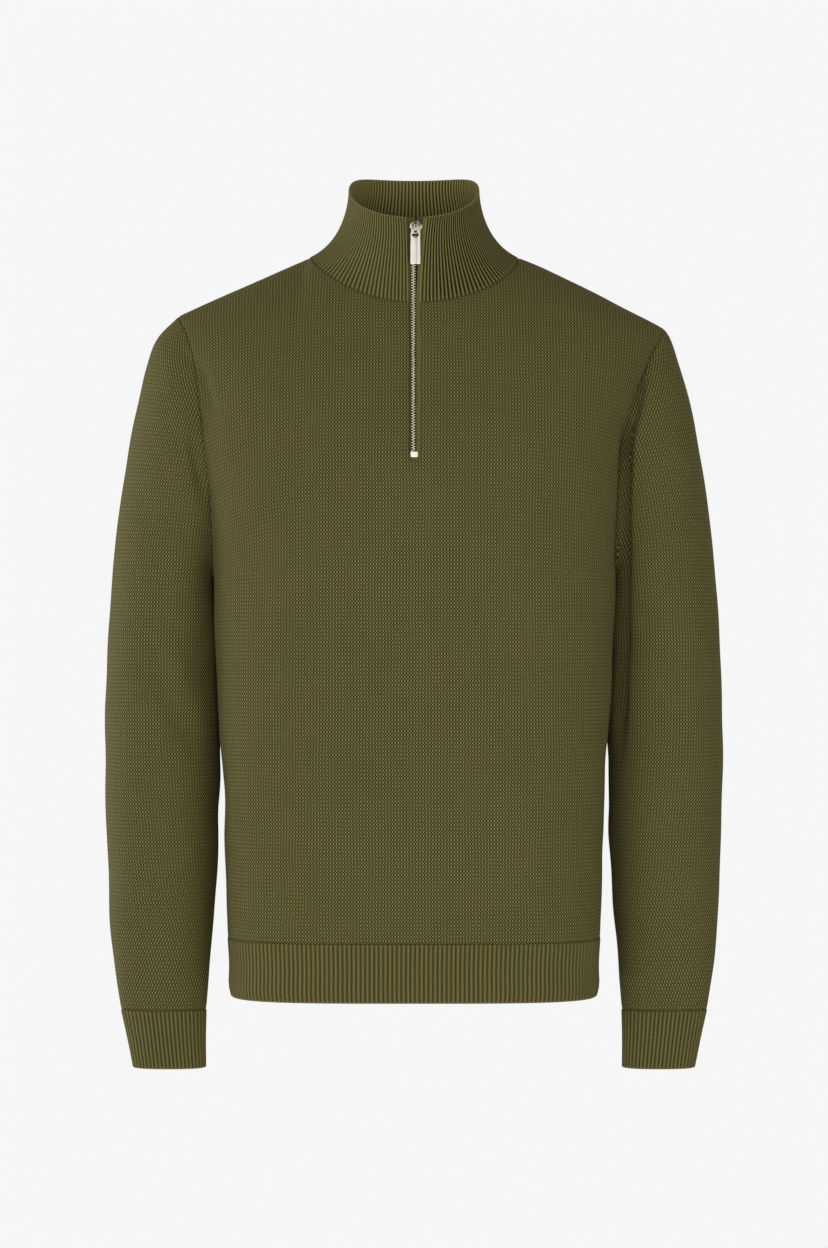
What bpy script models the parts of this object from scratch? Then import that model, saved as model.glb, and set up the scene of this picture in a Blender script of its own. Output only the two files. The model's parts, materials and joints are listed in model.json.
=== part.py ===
"""A quarter zip sweater in olive knit, filled out as if worn, with nobody in it.

Units are metres and +Z is up. The front faces -Y and the wearer's right side is on -X. The
origin lies between the shoulders at the level of the high shoulder points, where the wearer
carries the garment. Tables are written in millimetres, one row for each section.

The garment is one thin skin, drawn in panels that share their seam points. Each panel gets its
wall by moving the skin's points inward, and at each seam the panels part by a small gap.
"""

import math

import bpy
import numpy as np

MM = 0.001
ARC_STEPS, RING_STEPS = 600, 4001  # points by which a section's length is measured
SHARP_ANGLE = math.radians(50.0)  # edges sharper than this are shaded as edges

# ---- cloth ----
WALL = 2.5 * MM  # thickness of the knit
SEAM_PART = 0.17 * MM  # how far each panel's edge lies from the seam line
COLLAR_PART = 0.25 * MM  # the same for the collar, whose seam twists more
RIB_CREST = 0.45 * MM  # how far a rib stands out of the skin
RIB_GROOVE = 0.15 * MM  # how far a groove lies in it

# ---- torso: sections from the bottom edge up to the underarm ----
TORSO_NAMES = ("z", "half_width", "front", "back", "power")
TORSO_ROWS = (
    (-660.5, 166.4, 108.0, 106.0, 3.6),
    (-635.0, 165.0, 107.4, 105.5, 3.6),
    (-608.7, 166.4, 108.4, 106.0, 3.6),
    (-549.0, 168.3, 110.5, 105.5, 3.5),
    (-488.0, 170.5, 113.0, 105.0, 3.4),
    (-443.0, 172.8, 114.5, 105.5, 3.3),
    (-398.0, 175.0, 116.0, 107.0, 3.2),
    (-308.0, 178.4, 118.0, 111.0, 3.0),
    (-285.0, 179.5, 118.5, 112.0, 3.0),
)
HEM_SEAM, UNDERARM = -608.7 * MM, -285.0 * MM
PANEL_LEVELS = tuple(z * MM for z in (-608.7, -560.0, -490.0, -415.0, -345.0, -285.0))
HEM_LEVELS = tuple(z * MM for z in (-660.5, -635.0, -608.7))

# ---- chest, from the underarm (share 0) to the shoulder seam (share 1) ----
CHEST_SHARES = (0.0, 0.035, 0.12, 0.25, 0.41, 0.58, 0.74, 0.87, 0.96, 1.0)
SLIT_SHARE = 0.41  # the zip's slit ends at this row
ARMHOLE_NAMES = ("share", "right", "left", "front", "back")
ARMHOLE_ROWS = (
    (0.00, 179.5, 179.5, 118.5, 112.0),
    (0.16, 179.6, 180.0, 119.5, 113.0),
    (0.33, 182.0, 182.2, 120.0, 114.0),
    (0.48, 186.0, 185.5, 120.0, 114.0),
    (0.61, 189.5, 190.0, 119.0, 113.0),
    (0.78, 194.5, 202.5, 117.5, 111.0),
    (0.87, 199.0, 210.5, 117.0, 110.0),
    (0.94, 205.0, 218.5, 116.5, 109.0),
    (1.00, 212.0, 225.5, 116.0, 108.0),
)
CHEST_POWER = 3.0
ARMHOLE_CUT = 0.09  # how much of the section the armhole takes at the shoulder
ROLL_POWER = 2.6  # how late the chest turns in towards the shoulder
NECK_ROLL, NECK_POINT_ROLL, SHOULDER_ROLL = 1.05, 1.3, 2.0  # how round that turn is

# ---- shoulders: the tip of each, and how its line bows ----
TIP = {"right": (212.0 * MM, -52.0 * MM, 1.0), "left": (225.5 * MM, -64.0 * MM, 1.12)}
SIDES = {"right": -1, "left": 1}
SEAM_Y = 6.0 * MM  # the shoulder seam lies a little behind the middle
SHOULDER_COLUMNS = 6
NECK_COLUMNS = {"front": 9, "back": 7}
NECK_SHARE = 0.50  # where the neck point's column stands in the underarm's half section
GATHER = 7.0  # how late the columns draw in towards the neckline

# ---- neckline and collar ----
NECK_HALF, NECK_Z = 93.6 * MM, 0.8 * MM
NECK_CENTRE = {"front": (-69.0 * MM, -45.7 * MM), "back": (64.0 * MM, -8.0 * MM)}
RIM_HALF, RIM_Z = 58.5 * MM, 61.2 * MM
RIM_CENTRE = {"front": (-62.0 * MM, 30.2 * MM), "back": (58.0 * MM, 76.1 * MM)}
RIM_BACK_POWER = 2.6  # how soon the rim levels out behind the ears
COLLAR_LEAN = {"side": 0.91, "front": 0.30, "back": 0.45}
COLLAR_REACH, RIM_REACH = 26.0 * MM, 24.0 * MM
COLLAR_SHARES = (0.0, 0.14, 0.30, 0.50, 0.74, 1.0)
SLIT_HALF = 4.2 * MM
SLIT_AT_RIM = {"right": 5.6 * MM, "left": 9.5 * MM}
SLIT_SPREAD = 1.7  # how late the collar's edges spread for the slider
COLLAR_RIBS_PER_COLUMN = 4

# ---- hem and cuffs ----
HEM_RIBS, HEM_RIBS_PER_COLUMN = 240, 4
CUFF_RIBS, CUFF_RIBS_PER_COLUMN = 50, 2
CUFF_NAMES = ("z", "outer", "inner", "half_depth", "centre_y")
CUFF_ROWS = (
    (-727.0, 251.8, 187.0, 20.0, -8.0),
    (-701.0, 257.0, 187.2, 19.0, -8.0),
    (-675.0, 262.8, 186.6, 18.5, -8.0),
)
CUFF_POWER = 2.3

# ---- sleeves: each row is one ring, from beside the armhole down to the cuff ----
# gap is the sleeve's clearance from the torso's side; keep is how much of the armhole's own
# shape the ring still has.
SLEEVE_NAMES = ("outer", "z_outer", "gap", "z_inner", "half_depth", "centre_y", "keep")
SLEEVE_ROWS = (
    (230.5, -71.5, 1.2, -287.5, 57.0, 2.0, 0.80),
    (240.5, -98.0, 1.4, -293.0, 59.5, 4.0, 0.55),
    (250.5, -139.0, 1.4, -304.0, 61.0, 7.0, 0.28),
    (259.0, -184.0, 1.4, -321.0, 61.0, 9.0, 0.10),
    (265.5, -228.0, 1.4, -345.0, 60.5, 11.0, 0.0),
    (272.0, -287.0, 1.4, -378.0, 59.5, 12.0, 0.0),
    (276.5, -358.0, 1.6, -420.0, 58.0, 12.0, 0.0),
    (278.6, -436.0, 2.2, -466.0, 55.5, 9.0, 0.0),
    (276.6, -510.0, 6.6, -520.0, 51.0, 5.0, 0.0),
    (273.9, -578.0, 12.0, -581.0, 43.0, 0.0, 0.0),
    (269.0, -636.0, 18.6, -637.0, 29.0, -5.0, 0.0),
    (262.8, -675.0, 20.2, -675.0, 18.5, -8.0, 0.0),
)
SLEEVE_POWER = 2.2
ARMHOLE_HALF_DEPTH = 52.0 * MM

# ---- zip ----
TAPE_EDGE = 2.5 * MM  # from the zip's centre line to the tape's edge
TAPE_GAP, TAPE_THICK = 0.3 * MM, 0.9 * MM
TAPE_SHARE = 0.6  # how much of the first column of cloth the tape lies under
SEAT_GAP = 0.35 * MM  # the chain's ends to the stop and the slider
CHAIN_HALF, CHAIN_THICK = 2.2 * MM, 2.4 * MM
STOP_SIZE = (6.6 * MM, 1.6 * MM, 4.8 * MM)
STOP_Z = -182.0 * MM
ZIP_SHIFT = 1.8 * MM  # how far the zip veers to the left sleeve's side at the rim
SLIDER_TOP, SLIDER_BOTTOM = 27.6 * MM, 15.2 * MM
SLIDER_HALF = 5.0 * MM
PLATE_THICK, PLATE_BEVEL = 2.0 * MM, 0.7 * MM
CUTTER_EXTRA = 1.0 * MM  # how far a cutting shape runs past what it cuts
POST_HALF, POST_TALL = 1.0 * MM, 2.5 * MM
BAIL_HALF, BAIL_BORE, BAIL_WALL, BAIL_RISE = 1.2 * MM, 1.5 * MM, 1.1 * MM, 4.2 * MM
TAB_PIVOT = (1.3 * MM, -63.5 * MM, 19.0 * MM)
TAB_LEAN = math.radians(3.0)
TAB_WIDTH, TAB_THICK, TAB_LENGTH = 8.6 * MM, 1.4 * MM, 31.0 * MM
TAB_TOP, TAB_CORNER = 1.05 * MM, 2.2 * MM
TAB_EYE, TAB_EYE_DROP = 3.15 * MM, 4.2 * MM
TAB_CORNER_STEPS, TAB_EYE_STEPS = 4, 24

KNIT = (0.098, 0.084, 0.031)
RIB = (0.094, 0.081, 0.030)
TAPE = (0.030, 0.032, 0.014)
STEEL = (0.62, 0.60, 0.56)
TAB_METAL = (0.80, 0.76, 0.70)


def clear_scene():
    for item in list(bpy.data.objects):
        bpy.data.objects.remove(item, do_unlink=True)


def read_row(names, rows, at):
    """A table read at one value of its first column, by a smooth curve through its rows."""
    table = np.array(sorted(rows), dtype=float)
    x, values = table[:, 0], table[:, 1:]
    slopes = np.gradient(values, x, axis=0)
    i = int(np.clip(np.searchsorted(x, at) - 1, 0, len(x) - 2))
    step = x[i + 1] - x[i]
    t = min(max((at - x[i]) / step, 0.0), 1.0)
    first = (1 + 2 * t) * (1 - t) ** 2 * values[i] + t * (1 - t) ** 2 * step * slopes[i]
    second = t * t * (3 - 2 * t) * values[i + 1] - t * t * (1 - t) * step * slopes[i + 1]
    return dict(zip(names[1:], first + second))


def bulge(ratio, power):
    """The superellipse's other coordinate, 1 at ratio 0 and 0 at ratio 1."""
    return max(0.0, 1.0 - abs(ratio) ** power) ** (1.0 / power)


def torso_section(z):
    row = read_row(TORSO_NAMES, TORSO_ROWS, z / MM)
    return row["half_width"] * MM, row["front"] * MM, row["back"] * MM, row["power"]


def spread_along(half, depth, power, start, stop, shares):
    """x at the given shares of the cloth between x=start and x=stop on a quarter section."""
    low = math.asin(min(1.0, (start / half) ** (power / 2)))
    high = math.asin(min(1.0, (stop / half) ** (power / 2)))
    angle = np.linspace(low, high, ARC_STEPS)
    x = half * np.sin(angle) ** (2 / power)
    y = depth * np.abs(np.cos(angle)) ** (2 / power)
    length = np.concatenate([[0.0], np.cumsum(np.hypot(np.diff(x), np.diff(y)))])
    return np.interp(np.array(shares) * length[-1], length, x)


# ---------------------------------------------------------------- neckline and collar skin
def neck_point(side, face, angle):
    """The neck seam, at an angle that is 0 at the neck point and a right angle at the middle."""
    y, z = NECK_CENTRE[face]
    turn = math.sin(angle)
    return np.array([
        SIDES[side] * NECK_HALF * math.cos(angle),
        SEAM_Y + (y - SEAM_Y) * turn,
        NECK_Z + (z - NECK_Z) * turn,
    ])


def rim_point(side, face, angle):
    y, z = RIM_CENTRE[face]
    turn = math.sin(angle)
    rise = turn if face == "front" else 1 - (1 - turn) ** RIM_BACK_POWER
    return np.array([
        SIDES[side] * RIM_HALF * math.cos(angle),
        y * turn,
        RIM_Z + (z - RIM_Z) * rise,
    ])


def collar_point(side, face, part, share):
    """The collar's skin: part runs from the neck point to the middle, share from seam to rim."""
    end = math.pi / 2
    if face == "front":
        seam_end = math.acos(SLIT_HALF / NECK_HALF)
        rim_end = math.acos(SLIT_AT_RIM[side] / RIM_HALF)
        end = seam_end + (rim_end - seam_end) * share ** SLIT_SPREAD
    angle = part * end
    base, rim = neck_point(side, face, angle), rim_point(side, face, angle)
    inward = np.array([-base[0], SEAM_Y - base[1], 0.0])
    inward /= np.linalg.norm(inward)
    lean = COLLAR_LEAN["side"] * math.cos(angle) ** 2 + COLLAR_LEAN[face] * math.sin(angle) ** 2
    rise = np.array([0.0, 0.0, math.sqrt(1 - lean * lean)])
    second = base + COLLAR_REACH * (lean * inward + rise)
    third = rim - np.array([0.0, 0.0, RIM_REACH])
    rest = 1 - share
    return (
        rest**3 * base
        + 3 * rest * rest * share * second
        + 3 * rest * share * share * third
        + share**3 * rim
    )


# ---------------------------------------------------------------- front and back skin
def body_column(face, side, column):
    """One column of the front or back, from the hem seam to the shoulder seam or neckline."""
    neck = NECK_COLUMNS[face]
    last = neck + SHOULDER_COLUMNS
    start = SLIT_HALF if face == "front" else 0.0
    tip_x, tip_z, bow = TIP[side]
    facing = -1 if face == "front" else 1
    if column <= neck:
        share = NECK_SHARE * column / neck
        angle = (1 - column / neck) * math.acos(start / NECK_HALF)
        top = neck_point(side, face, angle)
        roll = NECK_POINT_ROLL + (NECK_ROLL - NECK_POINT_ROLL) * math.sin(angle)
    else:
        along = (column - neck) / SHOULDER_COLUMNS
        share = NECK_SHARE + (1 - NECK_SHARE) * along
        x = NECK_HALF + (tip_x - NECK_HALF) * along
        z = NECK_Z + (tip_z - NECK_Z) * along**bow
        top = np.array([SIDES[side] * x, SEAM_Y, z])
        roll = NECK_POINT_ROLL + (SHOULDER_ROLL - NECK_POINT_ROLL) * along
    points = []
    for z in PANEL_LEVELS[:-1]:
        half, front, back, power = torso_section(z)
        depth = front if face == "front" else back
        x = half if column == last else spread_along(half, depth, power, start, half, [share])[0]
        points.append(np.array([SIDES[side] * x, facing * depth * bulge(x / half, power), z]))
    for up in CHEST_SHARES:
        row = read_row(ARMHOLE_NAMES, ARMHOLE_ROWS, up)
        edge, depth = row[side] * MM, row[face] * MM
        ratio = 1 - ARMHOLE_CUT * up
        half = edge / ratio
        low = spread_along(half, depth, CHEST_POWER, start, edge, [share])[0]
        high = abs(top[0]) * (1 + (edge / tip_x - 1) * abs(top[0]) / tip_x)
        ease = up**GATHER
        x = edge if column == last else (1 - ease) * low + ease * high
        fall = max(0.0, 1 - up**ROLL_POWER) ** (1 / roll)
        y = top[1] + (facing * depth * bulge(x / half, CHEST_POWER) - top[1]) * fall
        points.append(np.array([SIDES[side] * x, y, UNDERARM + (top[2] - UNDERARM) * up]))
    return points


def body_grid(face):
    """Rows upward; columns run to +X on the front and to -X on the back, as each is seen."""
    last = NECK_COLUMNS[face] + SHOULDER_COLUMNS
    near, far = ("right", "left") if face == "front" else ("left", "right")
    columns = [body_column(face, near, c) for c in range(last, -1, -1)]
    first = 0 if face == "front" else 1
    columns += [body_column(face, far, c) for c in range(first, last + 1)]
    return np.array(columns).transpose(1, 0, 2)


# ---------------------------------------------------------------- sleeve skin
def sleeve_grid(side, front, back):
    """Rings from the armhole to the cuff; each starts at the top and runs forward."""
    first = len(PANEL_LEVELS) - 1
    front_edge = front[first:, 0 if side == "right" else -1][::-1]
    back_edge = back[first:, -1 if side == "right" else 0]
    armhole = np.concatenate([front_edge, back_edge[1:-1]])
    shares = np.concatenate([CHEST_SHARES[::-1], CHEST_SHARES[1:-1]])
    facing = np.array([-1] * len(front_edge) + [1] * (len(back_edge) - 2))
    tip, pit = armhole[0], armhole[len(front_edge) - 1]

    def ring(outer, inner, half_depth, centre_y):
        points = []
        for up, face in zip(shares, facing):
            point = inner + (outer - inner) * up
            depth = half_depth * bulge(2 * up - 1, SLEEVE_POWER)
            points.append(np.array([point[0], centre_y + face * depth, point[2]]))
        return np.array(points)

    own_shape = armhole - ring(tip, pit, ARMHOLE_HALF_DEPTH, 0.0)
    rings = [armhole]
    for values in SLEEVE_ROWS:
        row = dict(zip(SLEEVE_NAMES, values))
        inner_x = torso_section(row["z_inner"] * MM)[0] + row["gap"] * MM
        outer = np.array([SIDES[side] * row["outer"] * MM, 0.0, row["z_outer"] * MM])
        inner = np.array([SIDES[side] * inner_x, 0.0, row["z_inner"] * MM])
        shape = ring(outer, inner, row["half_depth"] * MM, row["centre_y"] * MM)
        rings.append(shape + row["keep"] * own_shape)
    return np.array(rings)


def collar_grid(per_column=1):
    """Rows upward; columns run from the slit on the right, round the back, to the left."""
    def parts(face):
        return np.linspace(0, 1, NECK_COLUMNS[face] * per_column + 1)

    route = [("right", "front", p) for p in parts("front")[::-1]]
    route += [("right", "back", p) for p in parts("back")[1:]]
    route += [("left", "back", p) for p in parts("back")[::-1][1:]]
    route += [("left", "front", p) for p in parts("front")[1:]]
    return np.array([[collar_point(*place, share) for place in route] for share in COLLAR_SHARES])


# ---------------------------------------------------------------- seams and walls
def key(point):
    return tuple(int(round(value * 1e6)) for value in point)


def unit(vectors):
    return vectors / np.maximum(np.linalg.norm(vectors, axis=-1, keepdims=True), 1e-12)


def grid_normals(grid, closed, flip):
    """Each point's sum of the normals of the cells round it, by their area."""
    rows, columns = grid.shape[:2]
    total = np.zeros_like(grid)
    for r in range(rows - 1):
        for c in range(columns if closed else columns - 1):
            d = (c + 1) % columns
            normal = np.cross(grid[r + 1, d] - grid[r, c], grid[r + 1, c] - grid[r, d])
            normal = -normal if flip else normal
            for place in ((r, c), (r, d), (r + 1, c), (r + 1, d)):
                total[place] += normal
    return total


def edge_pulls(grid, closed, edges):
    """For each point on a seam, the sum of the unit steps that lead from it into its panel."""
    pulls = np.zeros_like(grid)
    if "low" in edges:
        pulls[0] += unit(grid[1] - grid[0])
    if "high" in edges:
        pulls[-1] += unit(grid[-2] - grid[-1])
    if "sides" in edges and not closed:
        pulls[:, 0] += unit(grid[:, 1] - grid[:, 0])
        pulls[:, -1] += unit(grid[:, -2] - grid[:, -1])
    return pulls


def join_panels(panels):
    """Gives each panel its normals, halved between the sides of each seam, and its steps away.

    The front and back count as one side, so that where a sleeve folds under the arm the wall
    turns halfway between the torso and the sleeve.
    """
    normals, steps = {}, {}
    for name, panel in panels.items():
        grid = panel["grid"]
        own = grid_normals(grid, panel["closed"], panel["flip"])
        pulls = edge_pulls(grid, panel["closed"], panel["seams"])
        for place in np.ndindex(grid.shape[:2]):
            at = key(grid[place])
            sides = normals.setdefault(at, {})
            sides[panel["side"]] = sides.get(panel["side"], 0.0) + own[place]
            steps.setdefault(at, {})[name] = pulls[place]
    normals = {at: sum(unit(side) for side in sides.values()) for at, sides in normals.items()}
    for name, panel in panels.items():
        grid = panel["grid"]
        panel["normals"] = np.zeros_like(grid)
        panel["moves"] = np.zeros_like(grid)
        for place in np.ndindex(grid.shape[:2]):
            at = key(grid[place])
            panel["normals"][place] = unit(normals[at])
            own = steps[at][name]
            others = [step for other, step in steps[at].items() if other != name]
            if not np.any(own):
                continue
            away = own - np.mean(others, axis=0) if others else own
            panel["moves"][place] = panel["part"] * unit(away) * np.linalg.norm(own)
        if panel["level_edge"] is not None:
            edge = panel["normals"][panel["level_edge"]]
            edge[:, 2] = 0.0
            panel["normals"][panel["level_edge"]] = unit(edge)


def make_material(name, colour, rough, metallic=0.0):
    material = bpy.data.materials.new(name)
    material.use_nodes = True
    shader = material.node_tree.nodes["Principled BSDF"]
    shader.inputs["Base Color"].default_value = (*colour, 1.0)
    shader.inputs["Roughness"].default_value = rough
    shader.inputs["Metallic"].default_value = metallic
    material.diffuse_color = (*colour, 1.0)
    return material


def add_object(name, points, faces, material, smooth=True):
    mesh = bpy.data.meshes.new(name)
    mesh.from_pydata([tuple(p) for p in points], [], faces)
    mesh.validate()
    item = bpy.data.objects.new(name, mesh)
    bpy.context.scene.collection.objects.link(item)
    mesh.materials.append(material)
    if smooth:
        mesh.shade_smooth()
        mesh.set_sharp_from_angle(angle=SHARP_ANGLE)
    return item


def close_faces(outer_faces, count):
    """Adds the inner side and the rim to a sheet whose inner points follow its outer ones."""
    uses = {}
    for face in outer_faces:
        for a, b in zip(face, face[1:] + face[:1]):
            uses[(a, b)] = uses.get((a, b), 0) + 1
    faces = list(outer_faces)
    faces += [tuple(count + i for i in reversed(face)) for face in outer_faces]
    for a, b in uses:
        if (b, a) not in uses:
            faces.append((b, a, count + a, count + b))
    return faces


def wall(name, panel, material, skip=lambda r, c: False):
    """A panel's solid: its skin, the same points moved inward, and a rim between them."""
    grid = panel["grid"] + panel["moves"]
    rows, columns = grid.shape[:2]
    inner = grid - WALL * panel["normals"]
    points = np.concatenate([grid.reshape(-1, 3), inner.reshape(-1, 3)])
    faces = []
    for r in range(rows - 1):
        for c in range(columns if panel["closed"] else columns - 1):
            if skip(r, c):
                continue
            d = (c + 1) % columns
            face = (r * columns + c, r * columns + d, (r + 1) * columns + d, (r + 1) * columns + c)
            faces.append(face[::-1] if panel["flip"] else face)
    return add_object(name, points, close_faces(faces, rows * columns), material)


def ribbed_wall(name, outer, inner, per, closed, flip, material):
    """A ribbed solid: the outer side has `per` points for each column of the plain inner side."""
    rows, fine = outer.shape[:2]
    plain = inner.shape[1]
    count = rows * fine
    points = np.concatenate([outer.reshape(-1, 3), inner.reshape(-1, 3)])
    faces = []
    for r in range(rows - 1):
        for c in range(fine if closed else fine - 1):
            d = (c + 1) % fine
            faces.append((r * fine + c, r * fine + d, (r + 1) * fine + d, (r + 1) * fine + c))
        for c in range(plain if closed else plain - 1):
            d = (c + 1) % plain
            low, high = count + r * plain, count + (r + 1) * plain
            faces.append((low + d, low + c, high + c, high + d))
    for row, upper in ((0, False), (rows - 1, True)):
        for c in range(plain if closed else plain - 1):
            here = count + row * plain + c
            there = count + row * plain + (c + 1) % plain
            run = [row * fine + (c * per + k) % fine for k in range(per + 1)]
            middle = per // 2
            fans = [(here, run[k + 1], run[k]) for k in range(middle)]
            fans.append((here, there, run[middle]))
            fans += [(there, run[k + 1], run[k]) for k in range(middle, per)]
            faces += [fan[::-1] if upper else fan for fan in fans]
    if not closed:
        for r in range(rows - 1):
            for near, far, turn in ((0, 0, False), (fine - 1, plain - 1, True)):
                low, high = count + r * plain + far, count + (r + 1) * plain + far
                face = (r * fine + near, (r + 1) * fine + near, high, low)
                faces.append(face[::-1] if turn else face)
    if flip:
        faces = [face[::-1] for face in faces]
    return add_object(name, points, faces, material, smooth=False)


def rib_height(index):
    return RIB_CREST if index % 2 else -RIB_GROOVE


# ---------------------------------------------------------------- hem, cuffs and collar
def even_ring(half, front, back, power, count):
    """Points evenly spaced along a closed section, anticlockwise from its +X side."""
    angle = np.linspace(0, 2 * math.pi, RING_STEPS)
    cos, sin = np.cos(angle), np.sin(angle)
    depth = np.where(sin < 0, front, back)
    x = half * np.sign(cos) * np.abs(cos) ** (2 / power)
    y = depth * np.sign(sin) * np.abs(sin) ** (2 / power)
    length = np.concatenate([[0.0], np.cumsum(np.hypot(np.diff(x), np.diff(y)))])
    at = np.arange(count) / count * length[-1]
    return np.stack([np.interp(at, length, x), np.interp(at, length, y)], axis=1)


def ring_normals(ring):
    along = np.roll(ring, -1, axis=0) - np.roll(ring, 1, axis=0)
    return unit(np.stack([along[:, 1], -along[:, 0]], axis=1))


def band(name, sections, ribs, ribs_per_column, material):
    """A closed ribbed band; sections are (z, centre_x, centre_y, half, front, back, power)."""
    outer, inner = [], []
    for z, centre_x, centre_y, half, front, back, power in sections:
        ring = even_ring(half, front, back, power, 2 * ribs)
        normals = ring_normals(ring)
        heights = np.array([rib_height(i) for i in range(2 * ribs)])[:, None]
        middle = np.array([centre_x, centre_y])
        level = np.full((2 * ribs, 1), z)
        outer.append(np.hstack([ring + middle + heights * normals, level]))
        plain = (ring + middle - WALL * normals)[:: 2 * ribs_per_column]
        inner.append(np.hstack([plain, level[: len(plain)]]))
    per = 2 * ribs_per_column
    return ribbed_wall(name, np.array(outer), np.array(inner), per, True, False, material)


def make_hem(material):
    sections = []
    for z in HEM_LEVELS:
        half, front, back, power = torso_section(z)
        level = z - SEAM_PART if z == HEM_SEAM else z
        sections.append((level, 0.0, 0.0, half, front, back, power))
    band("hem_rib", sections, HEM_RIBS, HEM_RIBS_PER_COLUMN, material)


def make_cuff(side, material):
    sections = []
    for values in CUFF_ROWS:
        row = {name: value * MM for name, value in zip(CUFF_NAMES, values)}
        seam = values == CUFF_ROWS[-1]
        centre = SIDES[side] * (row["outer"] + row["inner"]) / 2
        half = (row["outer"] - row["inner"]) / 2
        level = row["z"] - SEAM_PART if seam else row["z"]
        depth = row["half_depth"]
        sections.append((level, centre, row["centre_y"], half, depth, depth, CUFF_POWER))
    band("cuff_" + side, sections, CUFF_RIBS, CUFF_RIBS_PER_COLUMN, material)


def make_collar(panel, material):
    """The collar's seam row lies on the panels' own seam lines, its other rows on the skin."""
    per = 2 * COLLAR_RIBS_PER_COLUMN
    skin = collar_grid(per)
    coarse = panel["grid"] + panel["moves"]
    columns = coarse.shape[1]
    places = np.arange(skin.shape[1]) / per
    normals = np.empty_like(skin)
    for axis in range(3):
        for r in range(len(skin)):
            normals[r, :, axis] = np.interp(places, np.arange(columns), panel["normals"][r, :, axis])
        skin[0, :, axis] = np.interp(places, np.arange(columns), coarse[0, :, axis])
    normals = unit(normals)
    heights = np.array([rib_height(i) for i in range(skin.shape[1])])
    heights[[0, -1]] = 0.0
    outer = skin + heights[None, :, None] * normals
    inner = coarse - WALL * panel["normals"]
    ribbed_wall("collar", outer, inner, per, False, True, material)


# ---------------------------------------------------------------- zip
def zip_line(front, collar):
    """The slit's two edges from its foot to the rim: skin points, normals and next columns."""
    foot = len(PANEL_LEVELS) - 1 + CHEST_SHARES.index(SLIT_SHARE)
    middle = NECK_COLUMNS["front"] + SHOULDER_COLUMNS
    lines = {}
    for side, column, step, collar_column in (
        ("right", middle, -1, 0),
        ("left", middle + 1, 1, -1),
    ):
        points, normals, wide = [], [], []
        collar_next = 1 if collar_column == 0 else -2
        for panel, rows, near, far in (
            (front, range(foot, front["grid"].shape[0]), column, column + step),
            (collar, range(1, collar["grid"].shape[0]), collar_column, collar_next),
        ):
            for r in rows:
                point, normal = panel["grid"][r, near], panel["normals"][r, near]
                points.append(point)
                normals.append(normal)
                far_point = point + TAPE_SHARE * (panel["grid"][r, far] - point)
                far_normal = unit(normal + TAPE_SHARE * (panel["normals"][r, far] - normal))
                wide.append((far_point, far_normal))
        lines[side] = (np.array(points), np.array(normals), wide)
    return lines


def zip_centre(z):
    """How far the zip's centre line lies from the middle at this height."""
    low, high = -5.0 * MM, RIM_CENTRE["front"][1]
    t = min(max((z - low) / (high - low), 0.0), 1.0)
    return ZIP_SHIFT * t * t * (3 - 2 * t)


def make_tape(side, line, material):
    """A tape behind the slit's edge: one column under the cloth, one out to the teeth."""
    points, normals, wide = line
    outer, inner = [], []
    for (point, normal, (next_point, next_normal)) in zip(points, normals, wide):
        deep = WALL + TAPE_GAP
        edge = point - deep * normal
        under = next_point - deep * next_normal
        at_teeth = np.array([zip_centre(point[2]) + SIDES[side] * TAPE_EDGE, edge[1], edge[2]])
        row = [at_teeth, edge, under]
        outer.append(row)
        lean = [normal * np.array([0.0, 1.0, 1.0]), normal, next_normal]
        inner.append([place - TAPE_THICK * unit(n) for place, n in zip(row, lean)])
    outer, inner = np.array(outer), np.array(inner)
    rows = len(outer)
    grid_points = np.concatenate([outer.reshape(-1, 3), inner.reshape(-1, 3)])
    faces = []
    for r in range(rows - 1):
        for c in range(2):
            face = (r * 3 + c, r * 3 + c + 1, (r + 1) * 3 + c + 1, (r + 1) * 3 + c)
            faces.append(face if side == "left" else face[::-1])
    add_object("zip_tape_" + side, grid_points, close_faces(faces, rows * 3), material)


def chain_middle(lines):
    """The chain's middle line, halfway between the tapes, and the cloth's normals along it."""
    right, left = lines["right"], lines["left"]
    normals = right[1] + left[1]
    normals[:, 0] = 0.0
    normals = unit(normals)
    deep = WALL + TAPE_GAP + TAPE_THICK / 2
    return (right[0] + left[0]) / 2 - deep * normals, normals


def read_at(z, middle, values):
    """The values given along the chain's middle line, read at height z."""
    return np.array([np.interp(z, middle[:, 2], values[:, axis]) for axis in range(3)])


def make_chain(middle, material):
    low = STOP_Z + STOP_SIZE[2] / 2 + SEAT_GAP
    high = SLIDER_BOTTOM - SEAT_GAP
    levels = [low] + [z for z in middle[:, 2] if low + MM < z < high - MM] + [high]
    outer, inner = [], []
    for z in levels:
        y = read_at(z, middle, middle)[1]
        edges = [zip_centre(z) - CHAIN_HALF, zip_centre(z) + CHAIN_HALF]
        outer.append([np.array([x, y - CHAIN_THICK / 2, z]) for x in edges])
        inner.append([np.array([x, y + CHAIN_THICK / 2, z]) for x in edges])
    points = np.concatenate([np.array(outer).reshape(-1, 3), np.array(inner).reshape(-1, 3)])
    faces = [(2 * r, 2 * r + 1, 2 * r + 3, 2 * r + 2) for r in range(len(levels) - 1)]
    add_object("zip_chain", points, close_faces(faces, 2 * len(levels)), material)


def box_points(low, high):
    x, y, z = zip(low, high)
    return [(x[i], y[j], z[k]) for i in (0, 1) for j in (0, 1) for k in (0, 1)]


BOX_FACES = [(0, 1, 3, 2), (4, 6, 7, 5), (0, 4, 5, 1), (2, 3, 7, 6), (0, 2, 6, 4), (1, 5, 7, 3)]


def add_box(name, low, high, material):
    return add_object(name, box_points(low, high), BOX_FACES, material, smooth=False)


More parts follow.
